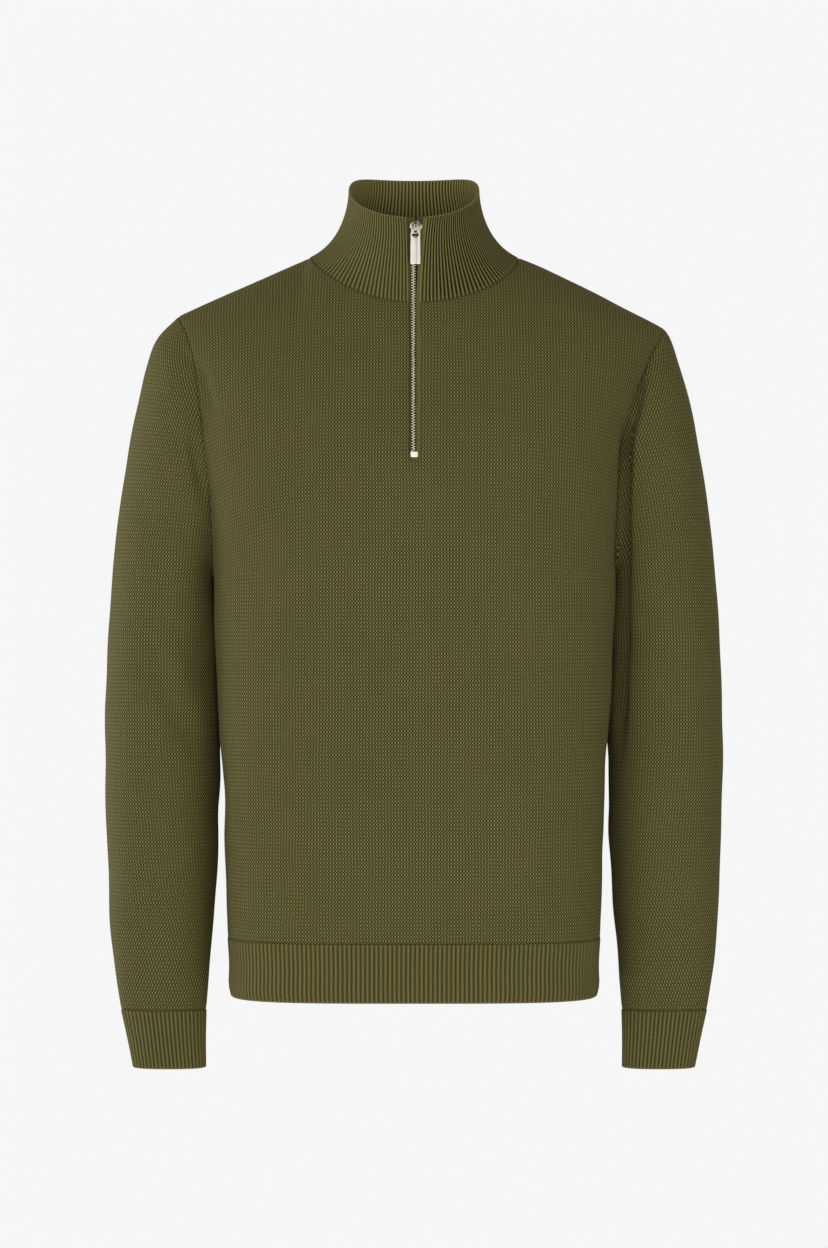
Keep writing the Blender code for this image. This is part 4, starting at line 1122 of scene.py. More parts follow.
# how far in the outline is drawn and how far it rises, in millimetres
PLATE_RINGS = (
    (0.45, 0.0), (0.12, 0.25), (0.0, 0.6), (0.0, 1.45), (0.12, 1.8), (0.45, 2.02), (1.2, 2.18),
)
POST_ACROSS, POST_UP, POST_REACH, POST_DROP = 1.0 * MM, 1.7 * MM, 1.4 * MM, 2.2 * MM
POST_CORNERS, POST_POWER = 12, 2.5
BAIL_LIFT, BAIL_TUBE, BAIL_ACROSS, BAIL_RADIUS = 4.2 * MM, 0.56 * MM, 1.02 * MM, 2.05 * MM
BAIL_STEPS, BAIL_CORNERS, BAIL_POWER = 15, 14, 2.6

slider_low, slider_high = (np.array(corner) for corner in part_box("zip_slider"))
slider_x = (slider_low[0] + slider_high[0]) / 2
chain_y = slider_high[1] - PLATE_THICK - PLATE_SLOT
hinge = np.array(frame["joints"][0]["pos_m"])
print("the tab's hinge in mm:", [round(float(value) / MM, 1) for value in hinge])


# %% Slider
def drawn_in(outline, by):
    """An outline of (across, up) points with each point moved inward."""
    along = np.roll(outline, -1, axis=0) - np.roll(outline, 1, axis=0)
    inward = unit(np.stack([-along[:, 1], along[:, 0]], axis=-1))
    return outline + by * inward


def plate_loft(outline, rings, base_y, facing, centre_x, foot_z):
    """A plate of the slider with its edges tumbled round."""
    stack = []
    for by, rise in rings:
        flat = drawn_in(outline, by * MM)
        y = base_y + facing * rise * MM
        stack.append(in_space(centre_x + flat[:, 0], y, foot_z + flat[:, 1]))
    return loft(np.array(stack))


half_outline = np.array(SLIDER_OUTLINE) * MM
outline = np.concatenate([half_outline[::-1], half_outline * (-1, 1)])
parts = [
    plate_loft(outline, PLATE_RINGS, chain_y + facing * PLATE_SLOT, facing, slider_x, slider_low[2])
    for facing in (-1, 1)
]
section = oval(POST_ACROSS, POST_UP, POST_CORNERS, POST_POWER)
up = slider_high[2] - POST_DROP + section[:, 1]
ends = (chain_y - POST_REACH, chain_y + POST_REACH)
post = [in_space(slider_x + section[:, 0], y, up) for y in ends]
parts.append(loft(np.array(post)))
section = oval(BAIL_ACROSS, BAIL_TUBE, BAIL_CORNERS, BAIL_POWER)
reach = BAIL_RADIUS + section[:, 1]
bail = []
for start, lift in ((math.pi, 0.0), (0.0, BAIL_LIFT)):
    for a in np.linspace(start, start + math.pi, BAIL_STEPS):
        y, z = hinge[1] + math.cos(a) * reach, hinge[2] + lift + math.sin(a) * reach
        bail.append(in_space(hinge[0] + section[:, 0], y, z))
parts.append(loft(np.array(bail), closed=True))
slider = add_piece("zip_slider_body", *joined(parts))
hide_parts("zip_slider")
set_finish(slider, "zip_metal")

# %% Bottom stop
STOP_ROUND, STOP_GROWN = 6.0, (0.98, 1.0, 1.05)  # rounding, and its size by that of the plain box
STOP_SHIFT = np.array([0.15, -1.1, 0.0]) * MM  # it stands clear of the strip round the slit
STOP_LEVELS, STOP_CORNERS = 17, 24

stop_low, stop_high = (np.array(corner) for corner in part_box("zip_stop"))
half = (stop_high - stop_low) / 2 * STOP_GROWN
rings = []
for level in np.linspace(-1.0, 1.0, STOP_LEVELS)[1:-1]:
    up = math.sin(level * math.pi / 2)
    size = bulge(np.array(up), STOP_ROUND)
    ring = oval(half[0] * size, half[1] * size, STOP_CORNERS, STOP_ROUND)
    rings.append(in_space(*ring.T, half[2] * up) + (stop_low + stop_high) / 2 + STOP_SHIFT)
stop = add_piece("zip_stop_block", *loft(np.array(rings)))
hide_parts("zip_stop")
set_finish(stop, "zip_metal")

# %% The pull tab's outline
TAB_HALF, TAB_FOOT_HALF, TAB_ROUND = 4.30 * MM, 4.48 * MM, 1.1 * MM
TAB_TOP, TAB_FOOT = 1.05 * MM, -30.9 * MM  # from the hinge
TAB_EYE, TAB_EYE_DROP = 3.05 * MM, 4.2 * MM
TAB_THICK, TAB_CROWN, TAB_LEAN = 1.4 * MM, 0.22 * MM, math.radians(-3.0)
TAB_STEPS, HEAD_STEPS, CORNER_STEPS = 96, 33, 7
# share of the way from the eye to the outline, and depth as a share of half the thickness
TAB_RINGS = (
    (0.0, 0.6), (0.035, 1.0), (0.2, 1.0), (0.4, 1.0), (0.6, 1.0), (0.8, 1.0), (0.93, 1.0),
)
# how far in from the outline, in millimetres, and the same depth
TAB_EDGE = ((0.42, 1.0), (0.12, 0.72), (0.0, 0.35))

head = [
    (TAB_HALF * math.cos(a), -TAB_EYE_DROP + (TAB_TOP + TAB_EYE_DROP) * math.sin(a))
    for a in np.linspace(0.0, math.pi, HEAD_STEPS)
]
foot = []
for sign, turns in ((-1, (math.pi, 1.5 * math.pi)), (1, (1.5 * math.pi, 2 * math.pi))):
    for a in np.linspace(*turns, CORNER_STEPS):
        x = sign * (TAB_FOOT_HALF - TAB_ROUND) + TAB_ROUND * math.cos(a)
        foot.append((x, TAB_FOOT + TAB_ROUND + TAB_ROUND * math.sin(a)))
tab_outline = np.array(head + foot)
closed = np.concatenate([tab_outline, tab_outline[:1]])
length = running_length(gaps(closed))
at = np.arange(TAB_STEPS) / TAB_STEPS * length[-1]
tab_outline = np.stack([np.interp(at, length, closed[:, axis]) for axis in (0, 1)], axis=-1)
eye_centre = np.array([0.0, -TAB_EYE_DROP])
eye = eye_centre + TAB_EYE * unit(tab_outline - eye_centre)
profile = [(eye + share * (tab_outline - eye), depth) for share, depth in TAB_RINGS]
profile += [(drawn_in(tab_outline, by * MM), depth) for by, depth in TAB_EDGE]
print("tab:", round(float(np.ptp(tab_outline[:, 1])) / MM, 1), "mm long")


# %% Pull tab
def tab_ring(flat, depth, facing):
    """One ring of the tab at its place on the bail, on the side that faces -Y or +Y."""
    crown = TAB_CROWN * (1 - (flat[:, 0] / TAB_FOOT_HALF) ** 2)
    y, z = facing * depth * (TAB_THICK / 2 - TAB_CROWN / 2 + crown), flat[:, 1]
    cos, sin = math.cos(TAB_LEAN), math.sin(TAB_LEAN)
    return hinge + in_space(flat[:, 0], y * cos - z * sin, y * sin + z * cos)


tab_rings = [tab_ring(flat, depth, -1) for flat, depth in profile]
tab_rings += [tab_ring(flat, depth, 1) for flat, depth in profile[::-1]]
tab = add_piece("pull_tab_plate", *loft(np.array(tab_rings), closed=True), body="tab")
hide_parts("pull_tab")
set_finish(tab, "tab_metal")

# %% [markdown]
# ## Bound edges beside the zip
#
# The cloth is cut for the zip, and each cut edge is bound by a plain strip, a soft half round
# that follows the slit from its foot to the collar's rim. On the wearer's right it is narrow and
# lies sunk beside the teeth. On the left it is broader and stands nearer to the cloth's face. One
# loft does both: it runs down the right edge, across the slit's foot and up the left.

# %% Bound edges
STRIP_DEEP, STRIP_CORNERS, STRIP_POWER = 1.35 * MM, 12, 2.8
# each on the wearer's right and on the left: half width, height over the cloth, step off the slit
STRIP_HALF = (0.80 * MM, 1.90 * MM)
STRIP_PROUD = (-1.5 * MM, -0.45 * MM)
STRIP_INSET = (0.55 * MM, -0.45 * MM)
FOOT_RISE = 1.6 * MM  # the strip crosses the slit this far above its foot
FOOT_CROSSING = (0.12, 0.32, 0.5, 0.68, 0.88)


def slit_line(key, rise=0.0):
    """The right edge downward, the foot, and the left edge upward, of a grid or its normals."""
    front, stand = panels["front"][key], panels["collar"][key]
    right = np.concatenate([front[SLIT_ROW:, SLIT_COLUMN], stand[1:, 0]])[::-1]
    left = np.concatenate([front[SLIT_ROW:, SLIT_COLUMN + 1], stand[1:, -1]])
    foot = [right[-1] + share * (left[0] - right[-1]) for share in FOOT_CROSSING]
    return right[:-1], np.array(foot) + (0.0, 0.0, rise), left[1:]


lines = slit_line("grid", FOOT_RISE)
over = np.repeat((0.0, 0.5, 1.0), [len(line) for line in lines])
over[len(lines[0]) : -len(lines[2])] = np.linspace(0.0, 1.0, len(lines[1]))
path, normals = np.concatenate(lines), unit(np.concatenate(slit_line("normals")))
across = unit(np.cross(unit(np.gradient(path, axis=0)), normals))
half, proud, inset = (
    (first + (last - first) * over)[:, None] for first, last in (STRIP_HALF, STRIP_PROUD, STRIP_INSET)
)
section = oval(1.0, STRIP_DEEP, STRIP_CORNERS, STRIP_POWER)
middle = path + inset * across - (STRIP_DEEP - proud) * normals
wide = (half * across)[:, None]
rings = middle[:, None] + section[:, 0, None] * wide + section[:, 1, None] * normals[:, None]
strip = add_piece("zip_edge", *loft(rings))
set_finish(strip, "rib")

# %% [markdown]
# ## Shader groups for yarn
#
# Knitting repeats, so its look can be computed from where a point lies on the cloth. The fabric
# coordinate holds real lengths, across the wales and up the courses. One group draws the tuck
# stitches of the panels, one the plain stitches on a rib, and one the yarn itself: its fuzz and
# the slow drift of its dye. Each is built once and placed in every material that needs it.


# %% Helpers for nodes
def fill(tree, node, inputs):
    """Link sockets to a node's inputs, and set plain values on them."""
    for key, value in inputs.items():
        if isinstance(value, bpy.types.NodeSocket):
            tree.links.new(value, node.inputs[key])
        else:
            node.inputs[key].default_value = value


def add_node(tree, kind, inputs=None, **settings):
    node = tree.nodes.new("ShaderNode" + kind)
    for name, value in settings.items():
        setattr(node, name, value)
    fill(tree, node, inputs or {})
    return node


def split(tree, vector):
    """The three axes of a vector socket."""
    return add_node(tree, "SeparateXYZ", {0: vector}).outputs


def place_in(tree):
    return add_node(tree, "TexCoord").outputs["Object"]


def calc(tree, operation, *values):
    """The result of a Math node."""
    return add_node(tree, "Math", dict(enumerate(values)), operation=operation).outputs[0]


def span(tree, value, low, high, to_low=0.0, to_high=1.0):
    """A value's smooth passage from low to high, as to_low to to_high."""
    values = {"Value": value, "From Min": low, "From Max": high, "To Min": to_low, "To Max": to_high}
    return add_node(tree, "MapRange", values, interpolation_type="SMOOTHSTEP").outputs[0]


def noise(tree, place, scale, detail=2.0, roughness=0.5, output="Fac"):
    inputs = {"Vector": place, "Scale": scale, "Detail": detail, "Roughness": roughness}
    return add_node(tree, "TexNoise", inputs).outputs[output]


# %% Helpers for groups
def new_group(name, inputs, outputs):
    """An empty group; an input without a value is a vector, and all other sockets are numbers."""
    group = bpy.data.node_groups.new(name, "ShaderNodeTree")
    for title, value in inputs.items():
        kind = "NodeSocketVector" if value is None else "NodeSocketFloat"
        socket = group.interface.new_socket(title, in_out="INPUT", socket_type=kind)
        if value is not None:
            socket.default_value = value
    for title in outputs:
        group.interface.new_socket(title, in_out="OUTPUT", socket_type="NodeSocketFloat")
    entry, leave = group.nodes.new("NodeGroupInput"), group.nodes.new("NodeGroupOutput")
    return group, entry.outputs, leave


def place_group(tree, group, inputs):
    return add_node(tree, "Group", inputs, node_tree=group).outputs


# %% Tuck stitches
SWAY_SCALES = (260.0, 22.0)  # noise from loop to loop, and over some centimetres
WIDE_SWAY = 6.0  # how many times stronger the wide one is
MEAN_SWAY = 0.5 * (1 + WIDE_SWAY)
# how strong the wave across the wales is: always, once in each course, and twice in each
WAVE_STRENGTH = (0.26, 0.86, 0.20)
COURSE_LINES = (-0.03, -0.10)  # plain waves up the courses, once and twice in each
LOOP_FULL, HOLE_FULL = 1.0, -0.6  # where on the lattice a loop and a hole are complete

tuck_group, given, result = new_group(
    "tuck stitches",
    {"Fabric": None, "Wale": 2.7 * MM, "Course": 3.38 * MM, "Wander": 0.36 * MM},
    ("Loop", "Hole", "Height"),
)
do = partial(calc, tuck_group)
vector = partial(add_node, tuck_group, "VectorMath")
fabric = given["Fabric"]
fine, wide = (noise(tuck_group, fabric, scale, 1.0, output="Color") for scale in SWAY_SCALES)
sway = vector({0: wide, 1: (WIDE_SWAY,) * 3}, operation="MULTIPLY").outputs[0]
off = split(tuck_group, vector({0: fine, 1: sway}, operation="ADD").outputs[0])
flat = split(tuck_group, fabric)
waves = []
for axis, size in ((0, "Wale"), (1, "Course")):
    moved = do("MULTIPLY", do("SUBTRACT", off[axis], MEAN_SWAY), given["Wander"])
    turns = do("DIVIDE", do("ADD", flat[axis], moved), given[size])
    waves.append(do("COSINE", do("MULTIPLY", turns, 2 * math.pi)))
across, along = waves
# loops sit on a staggered lattice: waves across the wales that change their strength, and even
# their sign, from course to course
twice = do("SUBTRACT", do("MULTIPLY", do("MULTIPLY", along, along), 2.0), 1.0)
always, once_each, twice_each = WAVE_STRENGTH
in_wale = do("MULTIPLY_ADD", twice, twice_each, do("MULTIPLY_ADD", along, once_each, always))
in_course = do("MULTIPLY", along, COURSE_LINES[0])
in_course = do("MULTIPLY_ADD", twice, COURSE_LINES[1], in_course)
lattice = do("MULTIPLY_ADD", across, in_wale, in_course)
loop, hole = (span(tuck_group, lattice, 0.0, full) for full in (LOOP_FULL, HOLE_FULL))
height = do("MULTIPLY_ADD", across, 0.2, 0.5)
fill(tuck_group, result, {"Loop": loop, "Hole": hole, "Height": height})
print("tuck stitches:", len(tuck_group.nodes), "nodes")

# %% Stitches on a rib
GROOVE_SOFT = (0.35, 1.25)  # a groove fades out between these shares of its width
CREST_SOFT = (0.2, 0.45)  # and the crest comes up between these parts of a rib
OPEN_REACH, OPEN_LEAST = (1.0 * MM, 6.0 * MM), 0.35  # how the grooves open above the seam
EDGE_FADE, SEAM_FADE = (1.6 * MM, 0.9 * MM), (1.5 * MM, 0.5 * MM)

rib_group, given, result = new_group(
    "rib stitches",
    {
        "Fabric": None, "Course": 1.9 * MM, "Slant": 0.42,
        "Groove": 0.13, "Edge": EDGE_MARK, "Foot": 0.0,
    },
    ("Groove", "Crest", "Stitch", "Edge", "Seam", "Height"),
)
do = partial(calc, rib_group)
flat = split(rib_group, given["Fabric"])
reach = do("PINGPONG", flat[0], 0.5)
in_groove = do("DIVIDE", reach, given["Groove"])
grooved = do("SUBTRACT", 1.0, span(rib_group, in_groove, *GROOVE_SOFT))
course = do("ADD", do("DIVIDE", flat[1], given["Course"]), do("MULTIPLY", reach, given["Slant"]))
stitch = do("MULTIPLY_ADD", do("COSINE", do("MULTIPLY", course, 2 * math.pi)), 0.5, 0.5)
to_edge, above_foot = do("SUBTRACT", given["Edge"], flat[1]), do("SUBTRACT", flat[1], given["Foot"])
open_up = span(rib_group, above_foot, *OPEN_REACH, OPEN_LEAST, 1.0)
rib_marks = {
    "Groove": do("MULTIPLY", grooved, open_up),
    "Crest": span(rib_group, reach, *CREST_SOFT),
    "Stitch": stitch,
    "Edge": span(rib_group, to_edge, *EDGE_FADE),
    "Seam": span(rib_group, above_foot, *SEAM_FADE),
    "Height": do("SUBTRACT", do("MULTIPLY", stitch, 0.5), grooved),
}
fill(rib_group, result, rib_marks)
print("rib stitches:", len(rib_group.nodes), "nodes")

# %% Yarn
SHADE_BASE, SHADE_FUZZ, SHADE_DYE = 0.75, 0.34, 0.16  # what makes up the yarn's brightness

yarn_sizes = {"Place": None, "Fuzz Scale": 1100.0, "Dye Scale": 16.0}
yarn_group, given, result = new_group("yarn", yarn_sizes, ("Fuzz", "Shade"))
do = partial(calc, yarn_group)
fuzz = noise(yarn_group, given["Place"], given["Fuzz Scale"], 3.0, 0.65)
dye = noise(yarn_group, given["Place"], given["Dye Scale"], 3.0, 0.55)
varied = do("ADD", do("MULTIPLY", fuzz, SHADE_FUZZ), do("MULTIPLY", dye, SHADE_DYE))
fill(yarn_group, result, {"Fuzz": fuzz, "Shade": do("ADD", varied, SHADE_BASE)})
print("groups:", [group.name for group in bpy.data.node_groups])

# %% [markdown]
# ## Cloth materials
#
# Wool scatters light softly and its loose fibres catch it at grazing angles. A Principled BSDF
# with a high roughness and some sheen gives both. The groups decide where a painted highlight lies
# on the loops and where painted shade fills a gap between stitches, and the same masks raise the
# bump. The collar's inner side has a copy of the rib yarn lightened with painted light, because it
# faces the light that falls in.

# %% A cloth's finish
# The first of these is painted shade in the gaps between stitches and the last a painted highlight on
# the loop tops; the middle one is the yarn's own colour.
HOLE_SHADE_AND_SEAM_DARK, YARN, LOOP_HIGHLIGHT = (0.006, 0.005, 0.0008), (0.099, 0.086, 0.0255), (0.345, 0.304, 0.116)
SHEEN, SHEEN_ROUGH, SHEEN_TINT, SHINE = 0.10, 0.55, (0.62, 0.57, 0.30, 1.0), 0.12
CLOTH_ROUGH = 0.92
FUZZ_ROUGH = (CLOTH_ROUGH - 0.08, CLOTH_ROUGH + 0.06)  # roughness between and on the loose fibres
FUZZ_RELIEF = 0.3  # how far loose fibres stand out, as a share of the stitches' height


def new_material(name, roughness, metallic=0.0):
    material = bpy.data.materials.new(name)
    material.use_nodes = True
    tree = material.node_tree
    tree.nodes.clear()
    shader = add_node(tree, "BsdfPrincipled", {"Roughness": roughness, "Metallic": metallic})
    add_node(tree, "OutputMaterial", {"Surface": shader.outputs[0]})
    return material, tree, shader


def mix_colour(tree, mask, first, second):
    inputs = {0: mask}
    for key, colour in ((6, first), (7, second)):
        inputs[key] = colour if isinstance(colour, bpy.types.NodeSocket) else (*colour, 1.0)
    return add_node(tree, "Mix", inputs, data_type="RGBA").outputs[2]


def cloth_material(name, masks, height, bump):
    """masks(tree, fabric) gives (base colour, height) sockets; yarn fuzz and dye are added."""
    material, tree, shader = new_material(name, CLOTH_ROUGH)
    fabric = add_node(tree, "UVMap", uv_map="fabric").outputs[0]
    yarn = place_group(tree, yarn_group, {"Place": place_in(tree)})
    colour, relief = masks(tree, fabric)
    shaded = add_node(tree, "HueSaturation", {"Color": colour, "Value": yarn["Shade"]}).outputs[0]
    relief = calc(tree, "ADD", relief, calc(tree, "MULTIPLY", yarn["Fuzz"], FUZZ_RELIEF))
    bumps = add_node(tree, "Bump", {"Strength": bump, "Distance": height, "Height": relief})
    finish = {
        "Base Color": shaded,
        "Roughness": span(tree, yarn["Fuzz"], 0.2, 0.8, *FUZZ_ROUGH),
        "Normal": bumps.outputs[0],
        "Sheen Weight": SHEEN,
        "Sheen Roughness": SHEEN_ROUGH,
        "Sheen Tint": SHEEN_TINT,
        "Specular IOR Level": SHINE,
    }
    fill(tree, shader, finish)
    return material


# %% Knit
def knit_masks(tree, fabric):
    stitch = place_group(tree, tuck_group, {"Fabric": fabric})
    # painted highlight on the loops, then painted shade in the holes
    colour = mix_colour(tree, stitch["Loop"], YARN, LOOP_HIGHLIGHT)
    return mix_colour(tree, stitch["Hole"], colour, HOLE_SHADE_AND_SEAM_DARK), stitch["Height"]


knit = cloth_material("tuck-stitch knit", knit_masks, height=0.35 * MM, bump=0.6)
print("knit nodes:", len(knit.node_tree.nodes))

# %% [markdown]
# ## Rib and bound edge
#
# The ribs are modelled, so their material only has to draw what is finer: the slanted stitches on
# each crest, a painted highlight on the crests, painted shade in each groove, a painted highlight
# along the free edge, and a thin dark line where the band is linked to the panel. The grooves fade
# toward that line, because linking pulls the ribs flat. The last half rib beside the zip is knitted
# plain, which the fabric coordinate already says. One function builds all three rib yarns from
# their own values.

# %% Rib
# The crest colours are painted highlights over the rib yarn.
RIB_YARN, RIB_CREST_HIGHLIGHT = (0.104, 0.090, 0.027), (0.225, 0.198, 0.071)
# The collar's inner side: the rib yarn and crest lightened with painted light.
INSIDE_YARN_PAINTED_LIGHT, INSIDE_CREST_PAINTED_LIGHT = (0.145, 0.125, 0.038), (0.330, 0.290, 0.104)
# A painted highlight for the hem's crests, and one along the free edge.
HEM_CREST_HIGHLIGHT, EDGE_HIGHLIGHT = (0.196, 0.171, 0.064), (0.205, 0.180, 0.068)
SIDE_SPREAD = 20 * MM  # the grooves' painted shade changes over this width, from the middle outward
GROOVE_LEAST, GROOVE_GROWTH = 0.04, 0.12  # a groove's width, and how much it widens where its painted shade is strongest
STITCH_SHADE = 0.35  # how much of the light yarn a stitch takes back
LEAST_DARK = 0.4  # how dark a groove stays between its stitches


def rib_masks(yarn, light, dark_near, dark_far, length, seam):
    """Painted shade in the grooves grows from dark_near on the wearer's right to dark_far on the left.
    """

    def masks(tree, fabric):
        do = partial(calc, tree)
        # painted shade in the grooves, stronger on the wearer's left, the side turned from the key
        # lamp
        groove_shade_by_side = span(tree, split(tree, place_in(tree))[0], 0.0, SIDE_SPREAD, dark_near, dark_far)
        groove = do("MULTIPLY_ADD", groove_shade_by_side, GROOVE_GROWTH, GROOVE_LEAST)
        given = {"Fabric": fabric, "Groove": groove, "Foot": EDGE_MARK - length}
        stitch = place_group(tree, rib_group, given)
        crest = mix_colour(tree, stitch["Crest"], yarn, light)
        crest = mix_colour(tree, do("MULTIPLY", stitch["Stitch"], STITCH_SHADE), crest, yarn)
        stitched = do("MULTIPLY_ADD", stitch["Stitch"], 1 - LEAST_DARK, LEAST_DARK)
        dark = do("MULTIPLY", do("MULTIPLY", stitch["Groove"], stitched), groove_shade_by_side)
        ribbed = mix_colour(tree, dark, crest, HOLE_SHADE_AND_SEAM_DARK)
        ribbed = mix_colour(tree, do("MULTIPLY", stitch["Seam"], seam), ribbed, HOLE_SHADE_AND_SEAM_DARK)
        # painted highlight along the free edge
        return mix_colour(tree, stitch["Edge"], ribbed, EDGE_HIGHLIGHT), stitch["Height"]

    return masks


# The collar's painted groove shade grows toward the wearer's left; on the hem and cuffs it stays
# nearly even.
outside = rib_masks(RIB_YARN, RIB_CREST_HIGHLIGHT, 0.75, 1.6, collar_length, seam=0.40)
inside_painted_light = rib_masks(INSIDE_YARN_PAINTED_LIGHT, INSIDE_CREST_PAINTED_LIGHT, 1.0, 1.3, collar_length, seam=0.40)
below = rib_masks(RIB_YARN, HEM_CREST_HIGHLIGHT, 0.22, 0.26, hem_length, seam=0.06)
rib = cloth_material("collar rib", outside, height=0.3 * MM, bump=0.6)
# a copy of the collar's rib lightened with painted light, for its inner side
rib_inside_painted_light = cloth_material("collar rib, inner side, painted light", inside_painted_light, height=0.3 * MM, bump=0.6)
hem_rib = cloth_material("hem and cuff rib", below, height=0.3 * MM, bump=0.5)
print("ribs:", [finish.name for finish in (rib, rib_inside_painted_light, hem_rib)])

# %% Bound edge and woven tape
STRIP_LIGHT, STRIP_COURSE = (0.180, 0.158, 0.057), 1.9 * MM
TAPE_DARK, TAPE_LIGHT = (0.040, 0.042, 0.016), (0.110, 0.108, 0.044)
TAPE_TWILL, TAPE_SLANT = 0.8 * MM, 0.8  # the twill's pitch, and how far it leans


def strip_masks(tree, fabric):
    height = split(tree, place_in(tree))[2]
    rows = calc(tree, "PINGPONG", calc(tree, "DIVIDE", height, STRIP_COURSE), 0.5)
    return mix_colour(tree, span(tree, rows, 0.0, 0.5), YARN, STRIP_LIGHT), rows


def tape_masks(tree, fabric):
    axes = split(tree, place_in(tree))
    slant = calc(tree, "ADD", axes[2], calc(tree, "MULTIPLY", axes[0], TAPE_SLANT))
    rows = calc(tree, "PINGPONG", calc(tree, "DIVIDE", slant, TAPE_TWILL), 0.5)
    return mix_colour(tree, span(tree, rows, 0.05, 0.45), TAPE_DARK, TAPE_LIGHT), rows


strip_cloth = cloth_material("bound edge", strip_masks, height=0.2 * MM, bump=0.5)
tape_cloth = cloth_material("woven tape", tape_masks, height=0.15 * MM, bump=0.6)
print("beside the zip:", strip_cloth.name, "and", tape_cloth.name)

# %% [markdown]
# ## Zip metals
#
# Zip metal is tumbled until its edges are smooth, which leaves fine scratches and dull patches.
# One group draws both, and the same patches place the slider's painted reflections. The teeth
# are warm and bright, the slider's dark patches are a painted reflection of a dim room in polished
# metal, the stop is nearly white, and the tab has a satin face with a band of painted shade down
# its side.

# %% Metals
BAND_AT, BAND_HALF, BAND_DARK = 2.4 * MM, 1.5 * MM, 0.4  # the band of painted shade on the tab's face
# dark and light colour (on the slider, the dark one is a painted reflection), least and most
# roughness, metallic, relief, and the strength of the band of painted shade
METALS = {
    "zip metal": ((0.86, 0.79, 0.57), (0.95, 0.90, 0.68), (0.16, 0.32), 0.8, 0.02 * MM, 0.0),
    "stop metal": ((0.90, 0.85, 0.76), (0.96, 0.92, 0.84), (0.3, 0.42), 0.3, 0.02 * MM, 0.0),
    # The slider's dark colour is a painted reflection of a dim room.
    "slider metal, painted reflection": ((0.13, 0.115, 0.083), (0.74, 0.68, 0.51), (0.12, 0.26), 1.0, 0.02 * MM, 0.0),
    "satin tab metal": ((0.97, 0.92, 0.83), (1.0, 0.96, 0.88), (0.34, 0.46), 0.5, 0.01 * MM, 0.5),
}

SCRATCH_STRETCH = (1.0, 1.0, 0.08)  # scratches run up and down
DULL_AND_REFLECTION_SCALE, SCRATCH_BUMP = 220.0, 0.35

metal_sizes = {"Place": None, "Grain": 900.0}
wear_and_reflection_group, given, result = new_group("tumbled metal and painted reflection", metal_sizes, ("Scratch", "Dull And Reflection"))
long_way = {0: given["Place"], 1: SCRATCH_STRETCH}
squeezed = add_node(wear_and_reflection_group, "VectorMath", long_way, operation="MULTIPLY").outputs[0]
# The same patches give the dull patches, and on the slider painted reflections.
dull_and_reflection = noise(wear_and_reflection_group, given["Place"], DULL_AND_REFLECTION_SCALE, 3.0)
fill(wear_and_reflection_group, result, {"Scratch": noise(wear_and_reflection_group, squeezed, given["Grain"]), "Dull And Reflection": dull_and_reflection})


def metal_material(name, dark, light, rough, metallic, relief, band):
    material, tree, shader = new_material(name, rough[0], metallic)
    place = place_in(tree)
    wear_and_reflection = place_group(tree, wear_and_reflection_group, {"Place": place})
    colour = mix_colour(tree, span(tree, wear_and_reflection["Dull And Reflection"], 0.3, 0.7), dark, light)
    # A band of painted shade down the tab's face.
    if band:
        off = calc(tree, "ABSOLUTE", calc(tree, "SUBTRACT", split(tree, place)[0], BAND_AT))
        shadow = calc(tree, "MULTIPLY", span(tree, off, BAND_HALF, 0.0), band)
        colour = mix_colour(tree, shadow, colour, tuple(BAND_DARK * value for value in dark))
    roughness = span(tree, wear_and_reflection["Scratch"], 0.25, 0.75, *rough)
    scratched = {"Strength": SCRATCH_BUMP, "Distance": relief, "Height": wear_and_reflection["Scratch"]}
    bump = add_node(tree, "Bump", scratched)
    fill(tree, shader, {"Base Color": colour, "Roughness": roughness, "Normal": bump.outputs[0]})
    return material


metals = {name: metal_material(name, *look) for name, look in METALS.items()}
print("metals:", list(metals))

# %% Dress every piece
SHARP = math.radians(35.0)

finishes = {
    "knit": knit,
    "rib": rib,
    "zip_metal": metals["zip metal"],
    "tab_metal": metals["satin tab metal"],
}
for item in list(bpy.context.scene.objects):
    if item.get("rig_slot") and item.type == "MESH" and not item.get("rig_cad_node"):
        item.data.materials.append(finishes[item["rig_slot"]])
strip.data.materials[0] = strip_cloth
# the collar's inner faces take the copy lightened with painted light
collar.data.materials.append(rib_inside_painted_light)
for band in (hem, *cuffs.values()):
    band.data.materials[0] = hem_rib
for side in SIDES:
    tape = frame["nodes"]["zip_tape_" + side]
    tape.data.materials.clear()
    tape.data.materials.append(tape_cloth)
slider.data.materials[0] = metals["slider metal, painted reflection"]
stop.data.materials[0] = metals["stop metal"]
for item in (slider, stop, tab):
    item.data.set_sharp_from_angle(angle=SHARP)
print("sharp edges kept on:", [item.name for item in (slider, stop, tab)])

# %% [markdown]
# ## What was cut
#
# Each band's flat cut is printed with its size, as each panel's was when it was made.

hem_round = ring_at(*hem_section(HEM_SEAM)[1:], np.zeros(1))[1]
bands = {"hem": (hem, hem_round, hem_length), "collar": (collar, collar_round, collar_length)}
for side in SIDES:
    cuff_round = ring_at(*cuff_section(side)(CUFF_SEAM)[1:], np.zeros(1))[1]
    bands["cuff_" + side] = (cuffs[side], cuff_round, cuff_length)
for name, (piece, width, length) in bands.items():
    print(f"{name} cut {width:.3f} x {length:.3f} m")

# %% [markdown]
# ## Stage and light
#
# A catalogue picture of knitwear is lit softly, so that the colour reads true. Six large square
# lamps do it. The key and the fill stand to the left and the right, a broad front lamp evens out
# the chest, and a low one reaches under the folds. The rim lamp grazes the sleeve on the left, and
# the last one stands behind, for the back. A pale floor and an even sky lift the shadows. The
# camera sees a plain near-white, the cloth a dimmer sky.

# %% Floor
FLOOR_LEVEL, FLOOR_RADIUS, FLOOR_STEPS = -1.25, 2.0, 96
FLOOR_TONES, FLOOR_GRAIN = ((0.80, 0.80, 0.79), (0.84, 0.84, 0.83)), 30.0

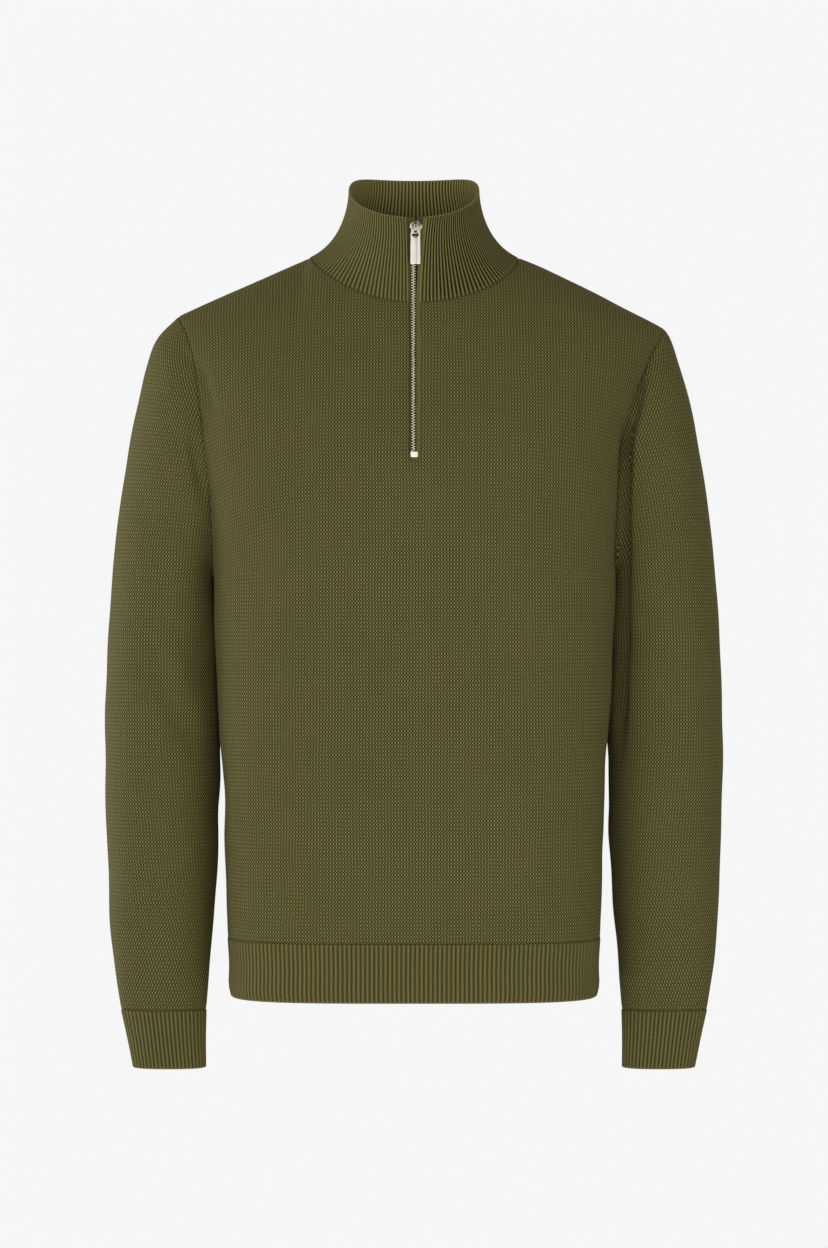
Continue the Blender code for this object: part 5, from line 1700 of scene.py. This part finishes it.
angles = np.linspace(0.0, 2 * math.pi, FLOOR_STEPS + 1)[:-1]
disc = [(FLOOR_RADIUS * math.cos(a), FLOOR_RADIUS * math.sin(a), FLOOR_LEVEL) for a in angles]
floor_mesh = bpy.data.meshes.new("floor")
floor_mesh.from_pydata(disc, [], [list(range(len(disc)))])
floor = bpy.data.objects.new("floor", floor_mesh)
bpy.context.scene.collection.objects.link(floor)
floor_finish, floor_tree, floor_shader = new_material("pale floor", 0.9)
grain = noise(floor_tree, place_in(floor_tree), FLOOR_GRAIN)
pale = mix_colour(floor_tree, grain, *FLOOR_TONES)
fill(floor_tree, floor_shader, {"Base Color": pale})
floor_mesh.materials.append(floor_finish)
print("floor at", FLOOR_LEVEL, "m")

# %% Sky
BACKDROP, SKY = 0.921, 0.16

world = bpy.data.worlds.new("studio")
bpy.context.scene.world = world
world.use_nodes = True
sky = world.node_tree
sky.nodes.clear()
for_cloth, for_camera = (
    add_node(sky, "Background", {"Color": (1.0, 1.0, 1.0, 1.0), "Strength": strength}).outputs[0]
    for strength in (SKY, BACKDROP)
)
seen = add_node(sky, "LightPath").outputs["Is Camera Ray"]
mixed = add_node(sky, "MixShader", {"Fac": seen, 1: for_cloth, 2: for_camera})
add_node(sky, "OutputWorld", {"Surface": mixed.outputs[0]})
print("sky:", SKY, " backdrop:", BACKDROP)

# %% Lamps
# name, place, aim, side length in metres, power in watts
LAMPS = (
    ("key", (-2.6, -2.6, 0.7), (0.0, 0.0, -0.35), 2.4, 41.0),
    ("front", (0.2, -4.6, -0.2), (0.0, 0.0, -0.35), 4.6, 21.0),
    ("fill", (2.6, -2.6, 0.1), (0.0, 0.0, -0.35), 2.4, 33.0),
    ("low", (0.0, -3.6, -1.0), (0.0, 0.0, -0.4), 1.6, 28.0),
    ("rim", (-2.3, 0.7, 0.0), (-0.2, 0.0, -0.4), 1.2, 30.0),
    ("behind", (1.5, 2.8, 1.0), (0.0, 0.0, -0.3), 2.0, 16.0),
)
for name, place, aim, side_length, power in LAMPS:
    lamp_data = bpy.data.lights.new(name, "AREA")
    lamp_data.size, lamp_data.energy = side_length, power
    lamp = bpy.data.objects.new(name, lamp_data)
    lamp.location = place
    lamp.rotation_euler = (Vector(aim) - Vector(place)).to_track_quat("-Z", "Y").to_euler()
    bpy.context.scene.collection.objects.link(lamp)
bpy.context.scene.view_settings.view_transform = "Standard"
print("lamps:", [name for name, *_ in LAMPS])

# %% The corners of a box, as plain numbers
def corners(box):
    return [[float(value) for value in corner] for corner in box]
